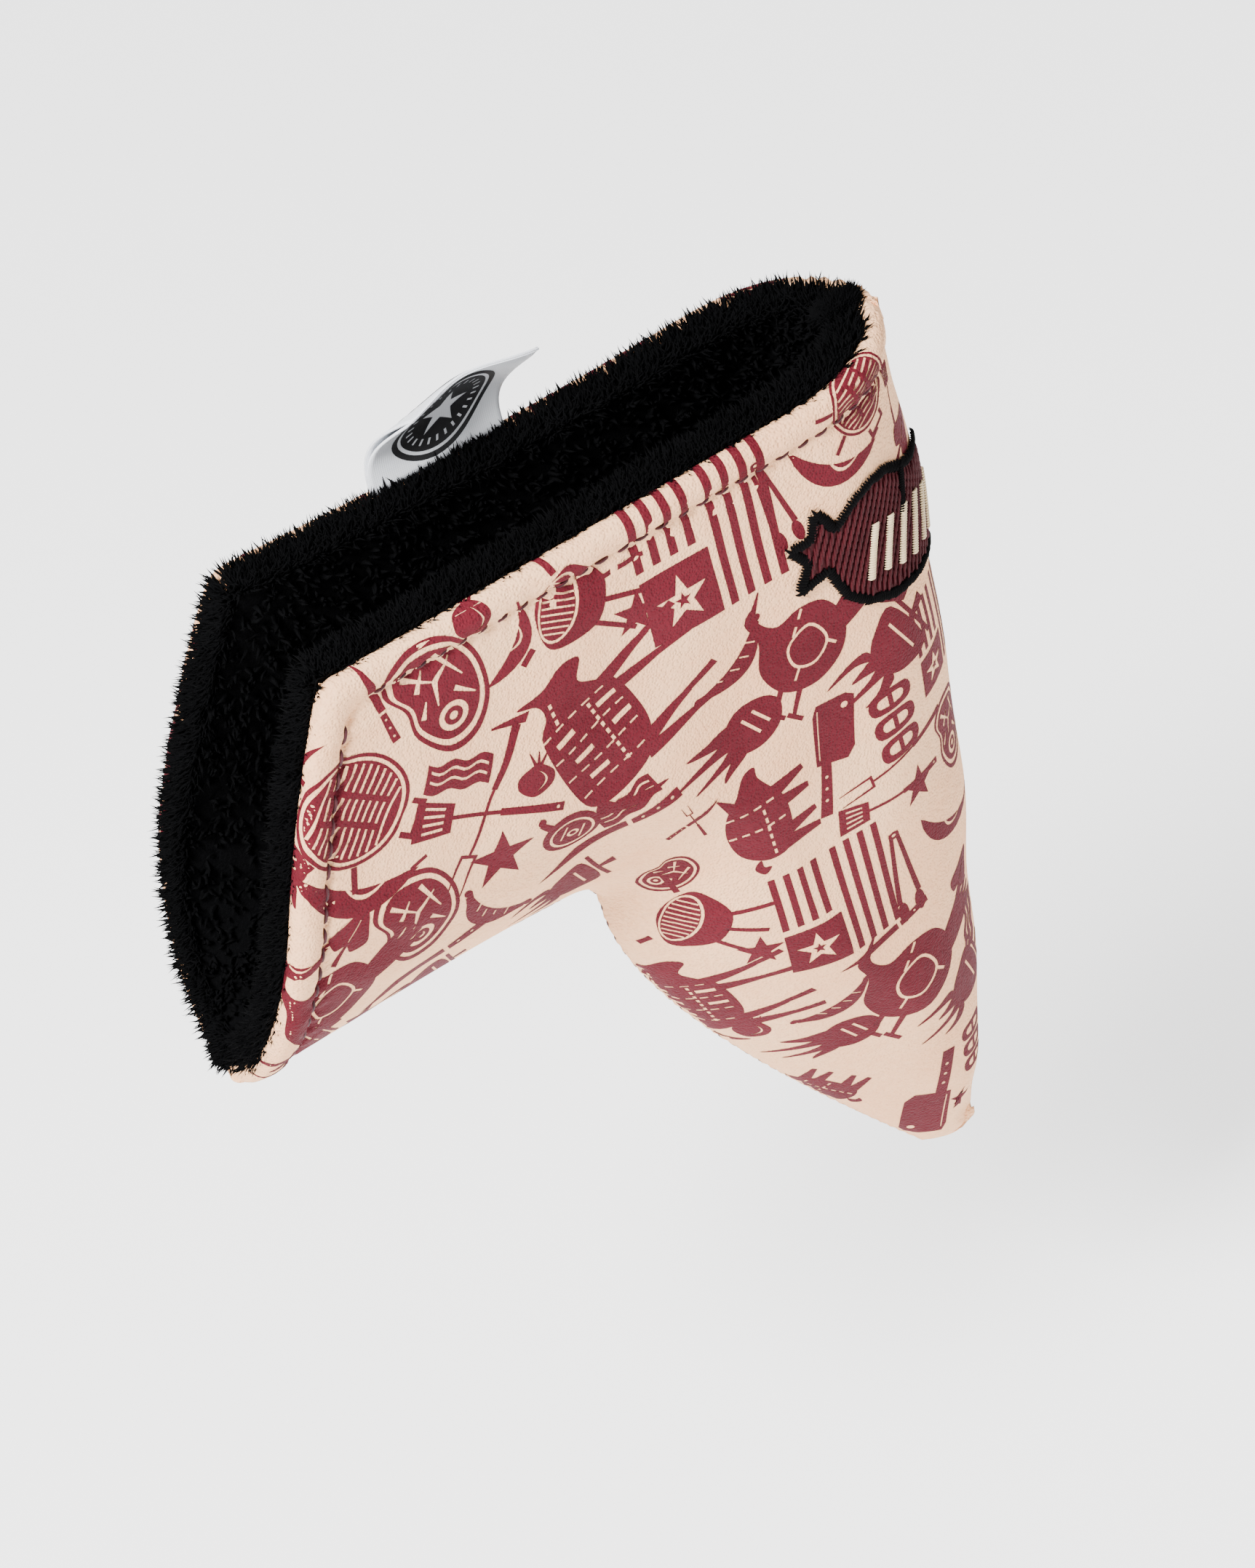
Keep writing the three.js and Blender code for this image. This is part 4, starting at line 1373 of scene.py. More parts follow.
@dataclass
class Layers3:
    """The sewn layers of one wall."""

    side: Side
    columns: tuple = (88, 42, 46, 78, 12)
    rows: int = 88
    leather: float = 0.8
    flap: float = 2.6
    foam_depth: float = 2.9
    foam_thick: float = 1.8
    lining_depth: float = 5.0
    lining_thick: float = 2.6
    coarse: tuple = (26, 14, 14, 26, 0)
    coarse_rows: int = 30

    @property
    def name(self) -> str:
        """The wall's name in the names of its pieces."""
        return self.side.name.lower()

    def skin(self, name: str, solid: Array, material: str) -> bpy.types.Object:
        """Makes a grid of points into one smooth piece.

        Args:
            name: Name of the piece.
            solid: Columns by rows of points in space.
            material: Finish of the piece.

        Returns:
            The piece, facing outwards.
        """
        count, rows = solid.shape[:2]
        index = np.arange(count * rows).reshape(count, rows)
        faces = np.stack(
            [index[:-1, :-1], index[1:, :-1], index[1:, 1:], index[:-1, 1:]], -1
        ).reshape(-1, 4)
        if self.side is Side.BACK:
            faces = faces[:, ::-1]
        made = make_object(name, solid.reshape(-1, 3), faces)
        work = bmesh.new()
        work.from_mesh(made.data)
        bmesh.ops.remove_doubles(work, verts=work.verts, dist=2e-6)
        bmesh.ops.dissolve_degenerate(work, dist=1e-6, edges=work.edges)
        work.to_mesh(made.data)
        work.free()
        made.data.materials.append(MATERIALS[material])
        shade_smooth(made)
        return made

    @staticmethod
    def thicken(made: bpy.types.Object, thick: float, offset: float) -> None:
        """Gives a skin its thickness, in millimetres."""
        wall = made.modifiers.new("thickness", "SOLIDIFY")
        wall.thickness = thick * MM
        wall.offset = offset
        wall.use_even_offset = False

    def shell(self) -> bpy.types.Object:
        """The printed leather, rolled in round the mouth."""
        over = (np.pi - 1) * PATTERN.lip + self.flap
        places = PATTERN.grid(0, over, self.columns, self.rows)
        flat = places.reshape(-1, 2)
        solid = PATTERN.surface(flat, self.side.value).reshape(*places.shape[:2], 3)
        made = self.skin(f"shell_{self.name}", solid, "leather")
        self.thicken(made, self.leather, -1)
        across_fold(made, self.side)
        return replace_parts(made, f"shell_{self.side.body}", "shell_pocket")

    def inner(self, depth: float, over: float, columns: tuple, rows: int) -> Array:
        """A smooth layer at a depth in the wall."""
        places = PATTERN.grid(depth, over, columns, rows)
        flat = places.reshape(-1, 2)
        half = PATTERN.half(flat, depth)
        solid = np.stack([flat[:, 0], self.side.value * half, flat[:, 1]], -1)
        return solid.reshape(*places.shape[:2], 3)

    def padding(self) -> bpy.types.Object:
        """The foam between the leather and the plush."""
        solid = self.inner(self.foam_depth, -PATTERN.hem, self.coarse, self.coarse_rows)
        made = self.skin(f"padding_{self.name}", solid, "foam")
        self.thicken(made, self.foam_thick, 0)
        across_fold(made, self.side)
        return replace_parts(made, f"padding_{self.side.body}", "padding_pocket")

    def lining(self) -> bpy.types.Object:
        """The backing of the plush."""
        solid = self.inner(self.lining_depth, -0.9, (*self.columns[:4], 0), self.coarse_rows * 2)
        made = self.skin(f"lining_{self.name}", solid, "plush")
        self.thicken(made, self.lining_thick, 0)
        across_fold(made, self.side)
        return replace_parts(made, f"lining_{self.side.body}", "lining_pocket")


def tuft_shape() -> tuple[Array, Array]:
    """A bent three-sided tuft of pile, one unit long, from z = 0."""
    work = bmesh.new()
    bmesh.ops.create_cone(work, cap_ends=False, segments=3, radius1=1, radius2=0.02, depth=1)
    bmesh.ops.translate(work, verts=work.verts, vec=(0, 0, 0.5))
    geometry = work.verts[:] + work.edges[:] + work.faces[:]
    bmesh.ops.bisect_plane(work, geom=geometry, plane_co=(0, 0, 0.5), plane_no=(0, 0, 1))
    middle = [v for v in work.verts if abs(v.co.z - 0.5) < 1e-4]
    bmesh.ops.scale(work, verts=middle, vec=(1.35, 1.35, 1))
    bmesh.ops.translate(work, verts=middle, vec=(0.6, 0, 0))
    bmesh.ops.remove_doubles(work, verts=work.verts, dist=0.05)
    return shape_of(work)


def stitch_shape() -> tuple[Array, Array]:
    """A sewn stitch, one unit long along z, with its ends pulled down."""
    work = bmesh.new()
    bmesh.ops.create_uvsphere(work, u_segments=6, v_segments=6, radius=0.5)
    for corner in work.verts:
        corner.co.y -= 0.9 * (2 * corner.co.z) ** 4
    bmesh.ops.triangulate(work, faces=work.faces)
    return shape_of(work)


def shape_of(work: bmesh.types.BMesh) -> tuple[Array, Array]:
    """The corners and triangles of a small shape, which is then freed."""
    bmesh.ops.triangulate(work, faces=work.faces)
    work.verts.index_update()
    corners = np.array([tuple(v.co) for v in work.verts])
    faces = np.array([[v.index for v in f.verts] for f in work.faces])
    work.free()
    return corners, faces


def repeat_shape(shape: tuple[Array, Array], origins: Array, axes: Array) -> tuple[Array, Array]:
    """Copies a small shape to many places.

    Args:
        shape: Corners and triangles.
        origins: A place for each copy.
        axes: Three scaled axes for each copy, one row each.

    Returns:
        All corners and triangles.
    """
    corners, faces = shape
    points = origins[:, None] + np.einsum("kc,ncd->nkd", corners, axes)
    numbers = faces[None] + (np.arange(len(origins)) * len(corners))[:, None, None]
    return points.reshape(-1, 3), numbers.reshape(-1, 3)


@dataclass
class Pile:
    """The tufts of the plush on one wall."""

    side: Side
    seed: int
    depth: float = 6.2
    length: float = 2.2
    wide: float = 0.24
    rim_count: int = 8600
    wall_count: int = 9500
    front_splay: float = 0.18
    back_splay: float = 0.33
    front_reach: float = 1.1
    back_reach: float = 1.25

    def axes(self, along: Array, rng: np.random.Generator, length: Array, wide: Array) -> Array:
        """Turns directions into the scaled axes of tufts."""
        side = unit(np.cross(along, rng.normal(size=along.shape)))
        third = np.cross(along, side)
        return np.stack([side * wide[:, None], third * wide[:, None], along * length[:, None]], 1)

    def rim(self, rng: np.random.Generator) -> tuple[Array, Array]:
        """Tufts on the edge of the lining, round the mouth.

        Returns:
            Their roots and axes.
        """
        roots, ways = [], []
        splay = self.front_splay if self.side is Side.FRONT else self.back_splay
        for depth in (2.5, 3.4, 4.3, 5.2, 6.1):
            count = self.rim_count // 5
            end = PATTERN.end.at(rng.uniform(0.105, 0.9, count // 2))
            rim = PATTERN.rim.at(rng.uniform(0.08, 0.93, count))
            spots = np.vstack([end, rim])
            inside, out = PATTERN.mouth(spots)
            spots = spots - out * (rng.uniform(0.6, 1.5, len(spots)) + inside)[:, None]
            seam, up = PATTERN.seam.measure(spots)
            spots = spots + up * np.maximum(depth + 0.1 - seam, 0)[:, None]
            spine, left = PATTERN.spine.measure(spots)
            spots = spots + left * np.maximum(depth + 0.02 - spine, 0)[:, None]
            near = (PATTERN.mouth(spots)[0] > 0.2) & (seam > -1)
            spots, out = spots[near], PATTERN.mouth(spots[near])[1]
            half = PATTERN.half(spots, depth)
            roots.append(np.stack([spots[:, 0], self.side.value * half, spots[:, 1]], -1))
            normal = PATTERN.normal(spots, self.side.value, depth)
            lean = rng.normal(scale=0.4, size=(len(spots), 3))
            over = np.stack([out[:, 0], np.zeros(len(out)), out[:, 1]], -1)
            ways.append(unit(over * 0.95 + normal * (4.4 - depth) * splay + lean))
        roots, ways = np.vstack(roots), np.vstack(ways)
        reach = self.front_reach if self.side is Side.FRONT else self.back_reach
        length = rng.uniform(0.75, 1.2, len(roots)) * self.length * reach
        wide = rng.uniform(0.75, 1.25, len(roots)) * self.wide
        return roots, self.axes(ways, rng, length, wide)

    def wall(self, rng: np.random.Generator) -> tuple[Array, Array]:
        """Tufts on the face of the lining.

        Returns:
            Their roots and axes.
        """
        spots = rng.uniform((-113, 8), (2, 155), (self.wall_count * 5, 2))
        seam, spine = PATTERN.seam.measure(spots)[0], PATTERN.spine.measure(spots)[0]
        inside = PATTERN.mouth(spots)[0]
        deep = np.minimum(seam, spine)
        keep = (deep > self.depth + 0.15) & (inside > 0.8)
        share = np.where(inside < 34, 1, 0.35) * np.clip(14 / np.maximum(deep - self.depth, 0.5), 1, 4) / 4
        keep &= rng.uniform(size=len(spots)) < share
        spots = spots[keep][: self.wall_count]
        out = PATTERN.mouth(spots)[1]
        normal = PATTERN.normal(spots, self.side.value, self.depth)
        half = PATTERN.half(spots, self.depth)
        roots = np.stack([spots[:, 0], self.side.value * half, spots[:, 1]], -1)
        lean = rng.normal(scale=0.35, size=(len(spots), 3))
        over = np.stack([out[:, 0], np.zeros(len(out)), out[:, 1]], -1)
        ways = unit(-normal * 0.75 + over * 0.55 + lean)
        length = rng.uniform(0.7, 1.15, len(roots)) * self.length
        wide = rng.uniform(0.9, 1.5, len(roots)) * self.wide * 1.5
        return roots, self.axes(ways, rng, length, wide)

    def build(self) -> bpy.types.Object:
        """Grows the pile."""
        rng = np.random.default_rng(self.seed)
        parts = [self.rim(rng), self.wall(rng)]
        roots, axes = (np.concatenate([p[k] for p in parts]) for k in (0, 1))
        points, faces = repeat_shape(tuft_shape(), roots, axes)
        made = make_object(f"pile_{self.side.name.lower()}", points, faces)
        made.data.materials.append(MATERIALS["plush"])
        shade_smooth(made)
        across_fold(made, self.side)
        return made


# ---------------------------------------------------------------- sewing and embroidery


def sewn_axes(
    start: Array, end: Array, normal: Array, wide: float, tall: float, long: float = 1.0
) -> Array:
    """The axes of stitches between pairs of points."""
    along = end - start
    across = unit(np.cross(unit(along), normal))
    up = unit(np.cross(across, unit(along)))
    up = np.where(np.sum(up * normal, 1)[:, None] < 0, -up, up)
    across = np.cross(up, unit(along))
    return np.stack([across * wide, up * tall, along * long], 1)


@dataclass
class Sewing:
    """The topstitching and the closing seam."""

    side: Side
    pitch: float = 3.05
    length: float = 2.3
    wide: float = 0.55

    def places(self, run: Array, on_rim: bool) -> Array:
        """Places on the stitching line at running lengths."""
        if on_rim:
            x = -PATTERN.spine_roll.roll(run)
            rim = PATTERN.rim.points[::-1]
            spots = np.stack([x, np.interp(x, rim[:, 0], rim[:, 1]) - PATTERN.hem], -1)
            spine, left = PATTERN.spine.measure(spots)
            return spots + left * (PATTERN.spine_roll.roll(run) - spine)[:, None]
        end = PATTERN.end.points[::-1]
        return np.stack([np.interp(run, end[:, 1], end[:, 0]) + PATTERN.hem, run], -1)

    def topstitch(self) -> bpy.types.Object:
        """Stitches up the open end and along the rim."""
        starts, ends, middles, normals = [], [], [], []
        spans = ((False, 88.0, 144.5), (True, -PATTERN.spine_roll.spare, 85.5))
        for on_rim, low, high in spans:
            middle = self.pitch * (
                np.arange(math.ceil(low / self.pitch), math.floor(high / self.pitch)) + 0.5
            )
            middle = middle[middle - self.length / 2 > low]
            a, b = (self.places(middle + way * self.length / 2, on_rim) for way in (-1, 1))
            starts.append(PATTERN.surface(a, self.side.value, 0.02))
            ends.append(PATTERN.surface(b, self.side.value, 0.02))
            middles.append(PATTERN.surface((a + b) / 2, self.side.value, 0.14))
            normals.append(PATTERN.normal((a + b) / 2, self.side.value))
        start, end, middle, normal = map(np.vstack, (starts, ends, middles, normals))
        axes = sewn_axes(start, end, normal, self.wide, self.wide, 1.12)
        points, faces = repeat_shape(stitch_shape(), middle, axes)
        made = make_object(f"topstitch_{self.side.name.lower()}", points, faces)
        made.data.materials.append(MATERIALS["sewing"])
        shade_smooth(made)
        across_fold(made, self.side)
        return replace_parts(made, f"topstitch_{self.side.body}", "topstitch_crown")

    @staticmethod
    def closing_seam() -> bpy.types.Object:
        """Short stitches that show in the groove of the closing seam."""
        line = PATTERN.seam
        first = line.fraction_near(PATTERN.keel_end) + 0.02
        last = line.fraction_near((-10, 3))
        part = np.arange(first, last, 3.4 / line.run[-1])
        centre = line.at(part) + line.normal(part) * 0.42
        along = line.at(part + 0.001) - line.at(part - 0.001)
        along = unit(np.stack([along[:, 0], np.zeros(len(part)), along[:, 1]], -1))
        out = -line.normal(part)
        normal = np.stack([out[:, 0], np.zeros(len(part)), out[:, 1]], -1)
        roots = np.stack([centre[:, 0], np.zeros(len(part)), centre[:, 1]], -1)
        axes = sewn_axes(roots - along * 0.9, roots + along * 0.9, normal, 0.36, 0.36)
        points, faces = repeat_shape(stitch_shape(), roots, axes)
        made = make_object("closing_seam", points, faces)
        made.data.materials.append(MATERIALS["sewing"])
        shade_smooth(made)
        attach(made, "pocket")
        return made


def inside_outline(outline: Array, places: Array) -> Array:
    """Which places lie inside a closed outline."""
    found = np.zeros(len(places), bool)
    for a, b in zip(outline, np.roll(outline, -1, axis=0)):
        crosses = (a[1] > places[:, 1]) != (b[1] > places[:, 1])
        step = np.where(b[1] == a[1], 1e-9, b[1] - a[1])
        found ^= crosses & (places[:, 0] < (b[0] - a[0]) * (places[:, 1] - a[1]) / step + a[0])
    return found


@dataclass
class Patch:
    """The embroidered sausage, sewn across the spine with a tied end on each wall."""

    side: Side
    border: float = 1.5
    pitch: float = 0.4
    fill_stitch: float = 2.5
    body: tuple = (
        (0.4, 117.8), (-4.5, 118.0), (-9.5, 118.6), (-14.0, 120.4), (-17.2, 123.4), (-18.6, 126.6)
    )
    tied: tuple = (
        (-19.2, 128.6), (-23.9, 127.2), (-21.9, 131.2), (-24.3, 134.0), (-20.9, 134.2), (-19.9, 138.2)
    )
    top: tuple = (
        (-17.4, 134.2), (-14.4, 136.8), (-11.0, 138.0), (-8.0, 137.6), (-5.0, 135.6), (-2.4, 134.4),
        (0.4, 134.0)
    )

    def outline(self) -> Array:
        """The edge of this half on the flat leather."""
        points = [*self.body, *self.tied, *self.top]
        line = Polyline(PATTERN.flatten(np.array(points)))
        return turned_left(line.at(np.linspace(0, 1, 260)))

    def sewn(self, flat: Array, lift: float) -> tuple[Array, Array]:
        """Places and outward directions over the leather of places on the flat."""
        places, across = PATTERN.sew(flat)
        solid, normal = np.zeros((len(flat), 3)), np.zeros((len(flat), 3))
        for way in (-1.0, 1.0):
            pick = across == way
            if pick.any():
                solid[pick] = PATTERN.surface(places[pick], self.side.value * way, lift)
                normal[pick] = PATTERN.normal(places[pick], self.side.value * way)
        return solid, normal

    def stitches(self, name: str, starts: Array, ends: Array, lift: float, wide: float, material: str) -> bpy.types.Object:
        """Embroiders stitches between pairs of places on the flat leather.

        Args:
            name: Name of the piece.
            starts: First ends.
            ends: Second ends.
            lift: Height over the leather.
            wide: Thickness of the thread.
            material: Finish.

        Returns:
            The stitches, as one piece.
        """
        start, normal = self.sewn(starts, lift)
        end, _ = self.sewn(ends, lift)
        axes = sewn_axes(start, end, normal, wide, wide * 0.9, 1.12)
        points, faces = repeat_shape(stitch_shape(), (start + end) / 2, axes)
        made = make_object(name, points, faces)
        made.data.materials.append(MATERIALS[material])
        shade_smooth(made)
        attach(made, "pocket")
        return made

    def ground(self, outline: Array) -> bpy.types.Object:
        """The backing cloth of the patch."""
        low, high = outline.min(0), outline.max(0)
        xs, zs = np.meshgrid(*(np.arange(low[k], high[k], 0.7) for k in (0, 1)))
        spots = np.stack([xs.ravel(), zs.ravel()], -1)
        points = [Vector(p) for p in np.vstack([outline, spots])]
        cut = delaunay_2d_cdt(points, [], [list(range(len(outline)))], 0, 1e-4, True)
        faces = np.array([f for f, ids in zip(cut[2], cut[5]) if ids])
        flat = np.array([tuple(v) for v in cut[0]])
        used = np.unique(faces)
        solid, _ = self.sewn(flat[used], 0.28)
        faces = np.searchsorted(used, faces)
        if self.side is Side.BACK:
            faces = faces[:, ::-1]
        made = make_object(f"patch_ground_{self.side.name.lower()}", solid, faces)
        made.data.materials.append(MATERIALS["red"])
        shade_smooth(made)
        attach(made, "pocket")
        return made

    def build(self) -> list[bpy.types.Object]:
        """Embroiders this half of the patch.

        Returns:
            The ground, the fill, the border and the straw marks.
        """
        name = self.side.name.lower()
        outline = self.outline()
        rng = np.random.default_rng(5 + self.side.value)
        line = Polyline(outline)
        count = int(line.run[-1] / self.pitch)
        part = np.linspace(0, 1, count)
        middle, normal = line.at(part), line.normal(part)
        wobble = rng.normal(scale=0.07, size=(2, count, 1))
        border = self.stitches(
            f"patch_border_{name}", middle + normal * (self.border / 2 + wobble[0]),
            middle - normal * (self.border / 2 + wobble[1]), 0.55, 0.52, "black",
        )
        low, high = outline.min(0), outline.max(0)
        rows = np.arange(low[0], high[0] + 0.5, self.pitch)
        starts, ends = [], []
        for k, x in enumerate(rows):
            z = np.arange(low[1] + (k * 0.37 % 1) * self.fill_stitch, high[1], self.fill_stitch)
            starts.append(np.stack([np.full(len(z), x), z], -1))
            ends.append(np.stack([np.full(len(z), x + 0.35), z + self.fill_stitch], -1))
        start, end = np.vstack(starts), np.vstack(ends)
        inner = inside_outline(outline, start) & inside_outline(outline, end)
        fill = self.stitches(
            f"patch_fill_{name}", start[inner], end[inner], 0.5, 0.47, "red"
        )
        centre = PATTERN.flatten(np.array([[-12.2, 127.6], [-0.02, 124.4]]))
        lean = np.array([0.26, 1.0]) / np.hypot(0.26, 1.0)
        across = np.array([0.98, -0.2])
        starts, ends = [], []
        for k in np.linspace(0, 1, 6):
            foot = centre[0] * (1 - k) + centre[1] * k
            tall = 8.2 - 0.6 * math.sin(k * 9)
            for step in np.arange(-tall / 2, tall / 2, self.pitch * 0.9):
                spot = foot + lean * step
                starts.append(spot - across * 0.62)
                ends.append(spot + across * 0.62)
        marks = self.stitches(
            f"patch_marks_{name}", np.array(starts), np.array(ends), 0.85, 0.42, "straw"
        )
        dark = PATTERN.flatten(np.array([[-5.2, 136.0], [-6.2, 129.2]]))
        part = np.arange(0, 1, 0.05)[:, None]
        spots = dark[0] * (1 - part) + dark[1] * part
        lines = self.stitches(
            f"patch_crease_{name}", spots - [
                0.5, 0.12
            ], spots + [0.5, 0.12], 0.8, 0.46, "black"
        )
        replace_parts(border, "patch_border")
        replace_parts(fill, "patch_fill")
        return [self.ground(outline), fill, border, marks, lines]


# ---------------------------------------------------------------- label


@dataclass
class Label:
    """The folded satin ribbon that stands up from the back wall."""

    foot: tuple = (-58.0, 12.0, 151.0)
    wide: float = 20.0
    tall: float = 16.4
    slope: float = 0.04
    thick: float = 0.35
    gap: float = 0.9
    across: int = 30
    up: int = 26
    emblem: float = 7.4
    centre: float = 8.4

    def bend(self, s: Array, t: Array) -> Array:
        """A point of the ribbon's middle at a width and a height.

        Args:
            s: Distance along the width, from its middle.
            t: Height over the sewn edge.

        Returns:
            Points in space, in millimetres.
        """
        part = np.maximum(t / self.tall, 0)
        sway = 4.4 * part**1.6 + 0.5 * np.sin(part * np.pi) * np.cos(s * 0.25)
        lean = 1.5 * np.sin(part * np.pi * 1.25) - 4.2 * part**2 + 0.8 * np.sin(s * 0.33 + part * 2) * part
        rise = t * (1 - 0.07 * part) + 0.035 * s * part - 0.012 * s**2 * part
        x = self.foot[0] + s * math.cos(self.slope) * (1 - 0.05 * part) + sway
        return np.stack([x, self.foot[1] + lean, self.foot[2] + rise + s * math.sin(self.slope)], -1)

    def face(self, s: Array, t: Array, way: float, lift: float = 0.0) -> Array:
        """A point of one face of the folded ribbon."""
        step = 0.05
        du, dv = self.bend(
            s + step, t
        ) - self.bend(s - step, t), self.bend(s, t + step) - self.bend(s, t - step)
        normal = unit(np.cross(du, dv))
        near_fold = np.sqrt(np.clip((self.tall - t) / 1.6, 0, 1))
        room = (self.gap * (0.35 + 0.65 * np.sin(np.pi * t / self.tall)) / 2 + self.thick / 2) * near_fold
        return self.bend(s, t) + normal * (way * (room + lift))[..., None]

    def build(self) -> list[bpy.types.Object]:
        """Folds the ribbon and weaves its emblem.

        Returns:
            The ribbon and the emblem.
        """
        s = np.linspace(-self.wide / 2, self.wide / 2, self.across + 1)
        climb = self.tall * np.sin(np.linspace(0, 1, self.up + 1) * np.pi / 2)
        rows = [(t, 1.0) for t in climb] + [(t, -1.0) for t in climb[::-1][1:]]
        solid = np.stack([self.face(s, np.full_like(s, t), way) for t, way in rows])
        count, wide = solid.shape[:2]
        index = np.arange(count * wide).reshape(count, wide)
        faces = np.stack(
            [index[:-1, :-1], index[:-1, 1:], index[1:, 1:], index[1:, :-1]], -1
        ).reshape(-1, 4)
        ribbon = make_object("label_ribbon", solid.reshape(-1, 3), faces)
        wall = ribbon.modifiers.new("thickness", "SOLIDIFY")
        wall.thickness = self.thick * MM
        wall.offset = -1
        ribbon.data.materials.append(MATERIALS["satin"])
        shade_smooth(ribbon)
        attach(ribbon, "label")
        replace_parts(ribbon, "label_tab")
        emblem = self.weave_emblem()
        return [ribbon, emblem]

    def weave_emblem(self) -> bpy.types.Object:
        """A plain round emblem with a star and rings, woven in black on both faces."""
        layers: Layers = [(INK_LAYER, ellipse(0, 0, 1, 1, 56)), (BARE, ellipse(0, 0, 0.9, 0.9, 56))]
        layers += [(INK_LAYER, ellipse(0, 0, 0.84, 0.84, 56)), (BARE, star_points(0, -0.04, 0.52))]
        for turn in np.linspace(0, 2 * np.pi, 24, endpoint=False):
            c, n = math.cos(turn), math.sin(turn)
            layers.append((BARE, bar(0.62 * c, 0.62 * n, 0.74 * c, 0.74 * n, 0.05)))
        points, faces = [], []
        for _, shape in layers:
            line = turned_left(shape * self.emblem)
            dense = []
            for a, b in zip(line, np.roll(line, -1, axis=0)):
                steps = max(int(np.linalg.norm(b - a) / 0.6), 1)
                dense += [a + (b - a) * k / steps for k in range(steps)]
            faces.append(list(range(len(points), len(points) + len(dense))))
            points += dense
        grid = np.arange(-self.emblem, self.emblem, 0.6)
        xs, zs = np.meshgrid(grid, grid)
        points += list(np.stack([xs.ravel(), zs.ravel()], -1))
        cut = delaunay_2d_cdt([Vector(p) for p in points], [], faces, 0, 1e-4, True)
        kept = np.array([f for f, ids in zip(cut[2], cut[5]) if ids and layers[max(ids)][0]])
        flat = np.array([tuple(v) for v in cut[0]])
        height = np.clip(flat[:, 1] + self.centre, 0.1, self.tall - 0.25)
        front = self.face(flat[:, 0], height, 1.0, 0.05)
        back = self.face(flat[:, 0], height, -1.0, 0.05)
        whole = np.vstack([kept, kept[:, ::-1] + len(flat)])
        made = make_object("label_emblem", np.vstack([front, back]), whole)
        made.data.materials.append(MATERIALS["emblem"])
        shade_smooth(made)
        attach(made, "label")
        return made


# ---------------------------------------------------------------- studio


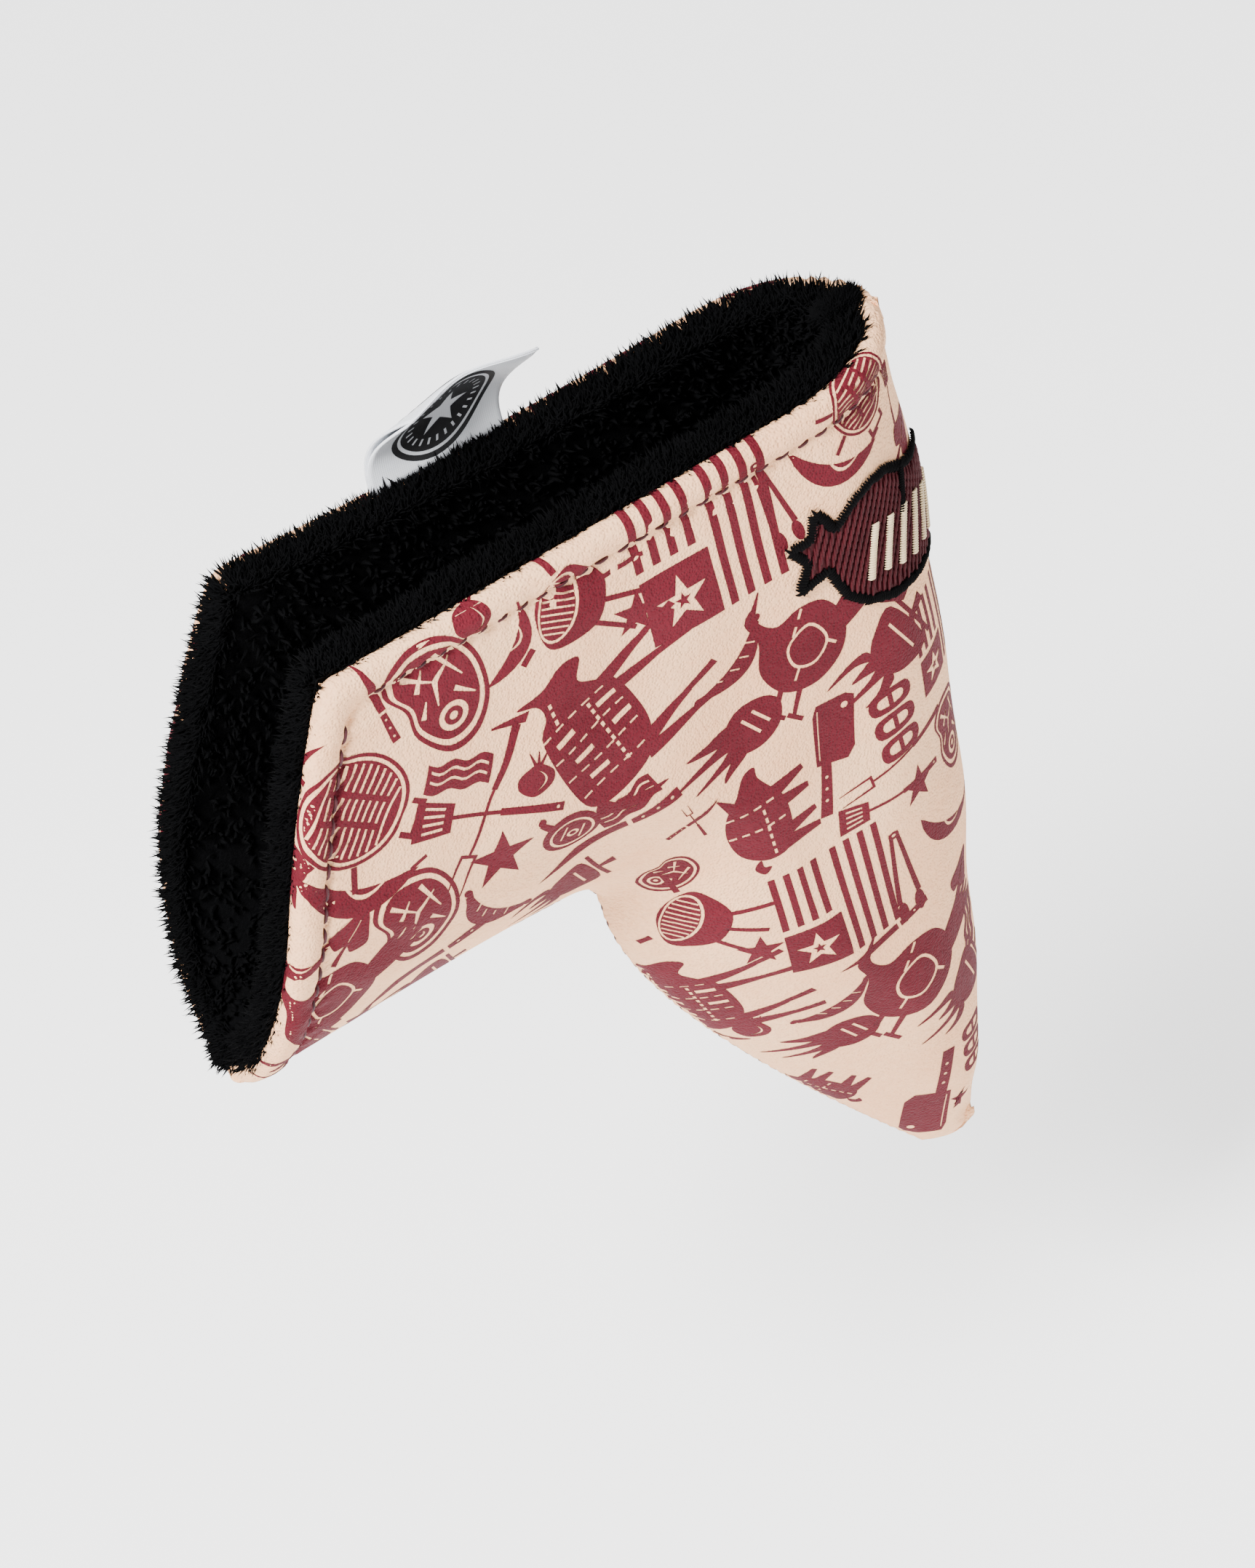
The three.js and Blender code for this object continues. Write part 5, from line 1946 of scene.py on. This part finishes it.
@dataclass
class Studio:
    """Pale floor, soft lights and the camera."""

    camera_at: tuple = (-0.2852, -0.5487, 0.5736)
    right: tuple = (0.8364, -0.5332, -0.1266)
    up: tuple = (0.4451, 0.5262, 0.7245)
    back: tuple = (-0.3197, -0.6624, 0.6775)
    lens: float = 143.65
    floor: float = -0.16
    floor_glow: float = 1.3
    sky_glow: float = 0.55

    def area(self, name: str, place: tuple, size: float, power: float, colour: tuple = (1, 1, 1)) -> None:
        """A square light that faces the cover."""
        data = bpy.data.lights.new(name, "AREA")
        data.size, data.energy, data.color = size, power, colour
        light = bpy.data.objects.new(name, data)
        light.location = place
        light.rotation_mode = "QUATERNION"
        light.rotation_quaternion = (Vector((-0.02, 0, 0.02)) - Vector(place)).to_track_quat("-Z", "Y")
        bpy.context.scene.collection.objects.link(light)

    def build(self) -> None:
        """Sets up the floor, the lights and the camera."""
        work = bmesh.new()
        bmesh.ops.create_grid(work, x_segments=2, y_segments=2, size=4)
        bmesh.ops.translate(work, verts=work.verts, vec=(0, 0, self.floor))
        mesh = bpy.data.meshes.new("floor")
        work.to_mesh(mesh)
        work.free()
        floor = bpy.data.objects.new("floor", mesh)
        bpy.context.scene.collection.objects.link(floor)
        paint = bpy.data.materials.new("floor_white")
        paint.use_nodes = True
        paint.node_tree.nodes["Principled BSDF"].inputs["Base Color"].default_value = (0.9, 0.9, 0.9, 1)
        paint.node_tree.nodes["Principled BSDF"].inputs["Roughness"].default_value = 0.9
        paint.node_tree.nodes["Principled BSDF"].inputs["Emission Color"].default_value = (1, 1, 1, 1)
        paint.node_tree.nodes["Principled BSDF"].inputs["Emission Strength"].default_value = self.floor_glow
        mesh.materials.append(paint)
        world = bpy.data.worlds.new("studio")
        world.use_nodes = True
        world.node_tree.nodes["Background"].inputs["Color"].default_value = (1, 1, 1, 1)
        world.node_tree.nodes["Background"].inputs["Strength"].default_value = self.sky_glow
        bpy.context.scene.world = world
        self.area("key", (-0.6, -0.25, 0.75), 0.25, 28.0)
        self.area("fill", (0.45, -0.85, 0.3), 0.7, 3.0)
        self.area("top", (0.1, 0.45, 0.8), 0.7, 4.0)
        data = bpy.data.cameras.new("camera")
        data.lens, data.sensor_width = self.lens, 36
        data.clip_start, data.clip_end = 0.01, 20
        camera = bpy.data.objects.new("camera", data)
        turn = Matrix((self.right, self.up, self.back)).transposed()
        camera.matrix_world = Matrix.Translation(self.camera_at) @ turn.to_4x4()
        bpy.context.scene.collection.objects.link(camera)
        bpy.context.scene.camera = camera


FINISHES = {
    "leather": CREAM, "ink": INK, "foam": FOAM, "plush": PILE, "sewing": SEWING, "red": RED_THREAD,
    "black": BLACK_THREAD, "straw": STRAW_THREAD, "satin": SATIN, "emblem": WOVEN_BLACK, "nickel": NICKEL,
}


def report(*made: bpy.types.Object) -> None:
    """Logs the pieces as they are made."""
    for piece in made:
        LOG.info("%s: %d faces", piece.name, len(piece.data.polygons))


def main() -> None:
    """Builds the cover, piece by piece."""
    logging.basicConfig(level=logging.INFO, format="%(message)s")
    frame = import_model()
    for name, finish in FINISHES.items():
        MATERIALS[name] = finish.make()
    Studio().build()
    for side in Side:
        layers = Layers3(side)
        report(layers.shell(), layers.padding(), layers.lining())
        report(Print().build(side))
        report(Pile(side, 11 + side.value).build())
        report(Sewing(side).topstitch())
        report(*Patch(side).build())
    report(Sewing.closing_seam())
    report(*Label().build())
    for node, made in frame["nodes"].items():
        if node.startswith("magnet"):
            made.data.materials.clear()
            made.data.materials.append(MATERIALS["nickel"])


if __name__ == "__main__":
    main()
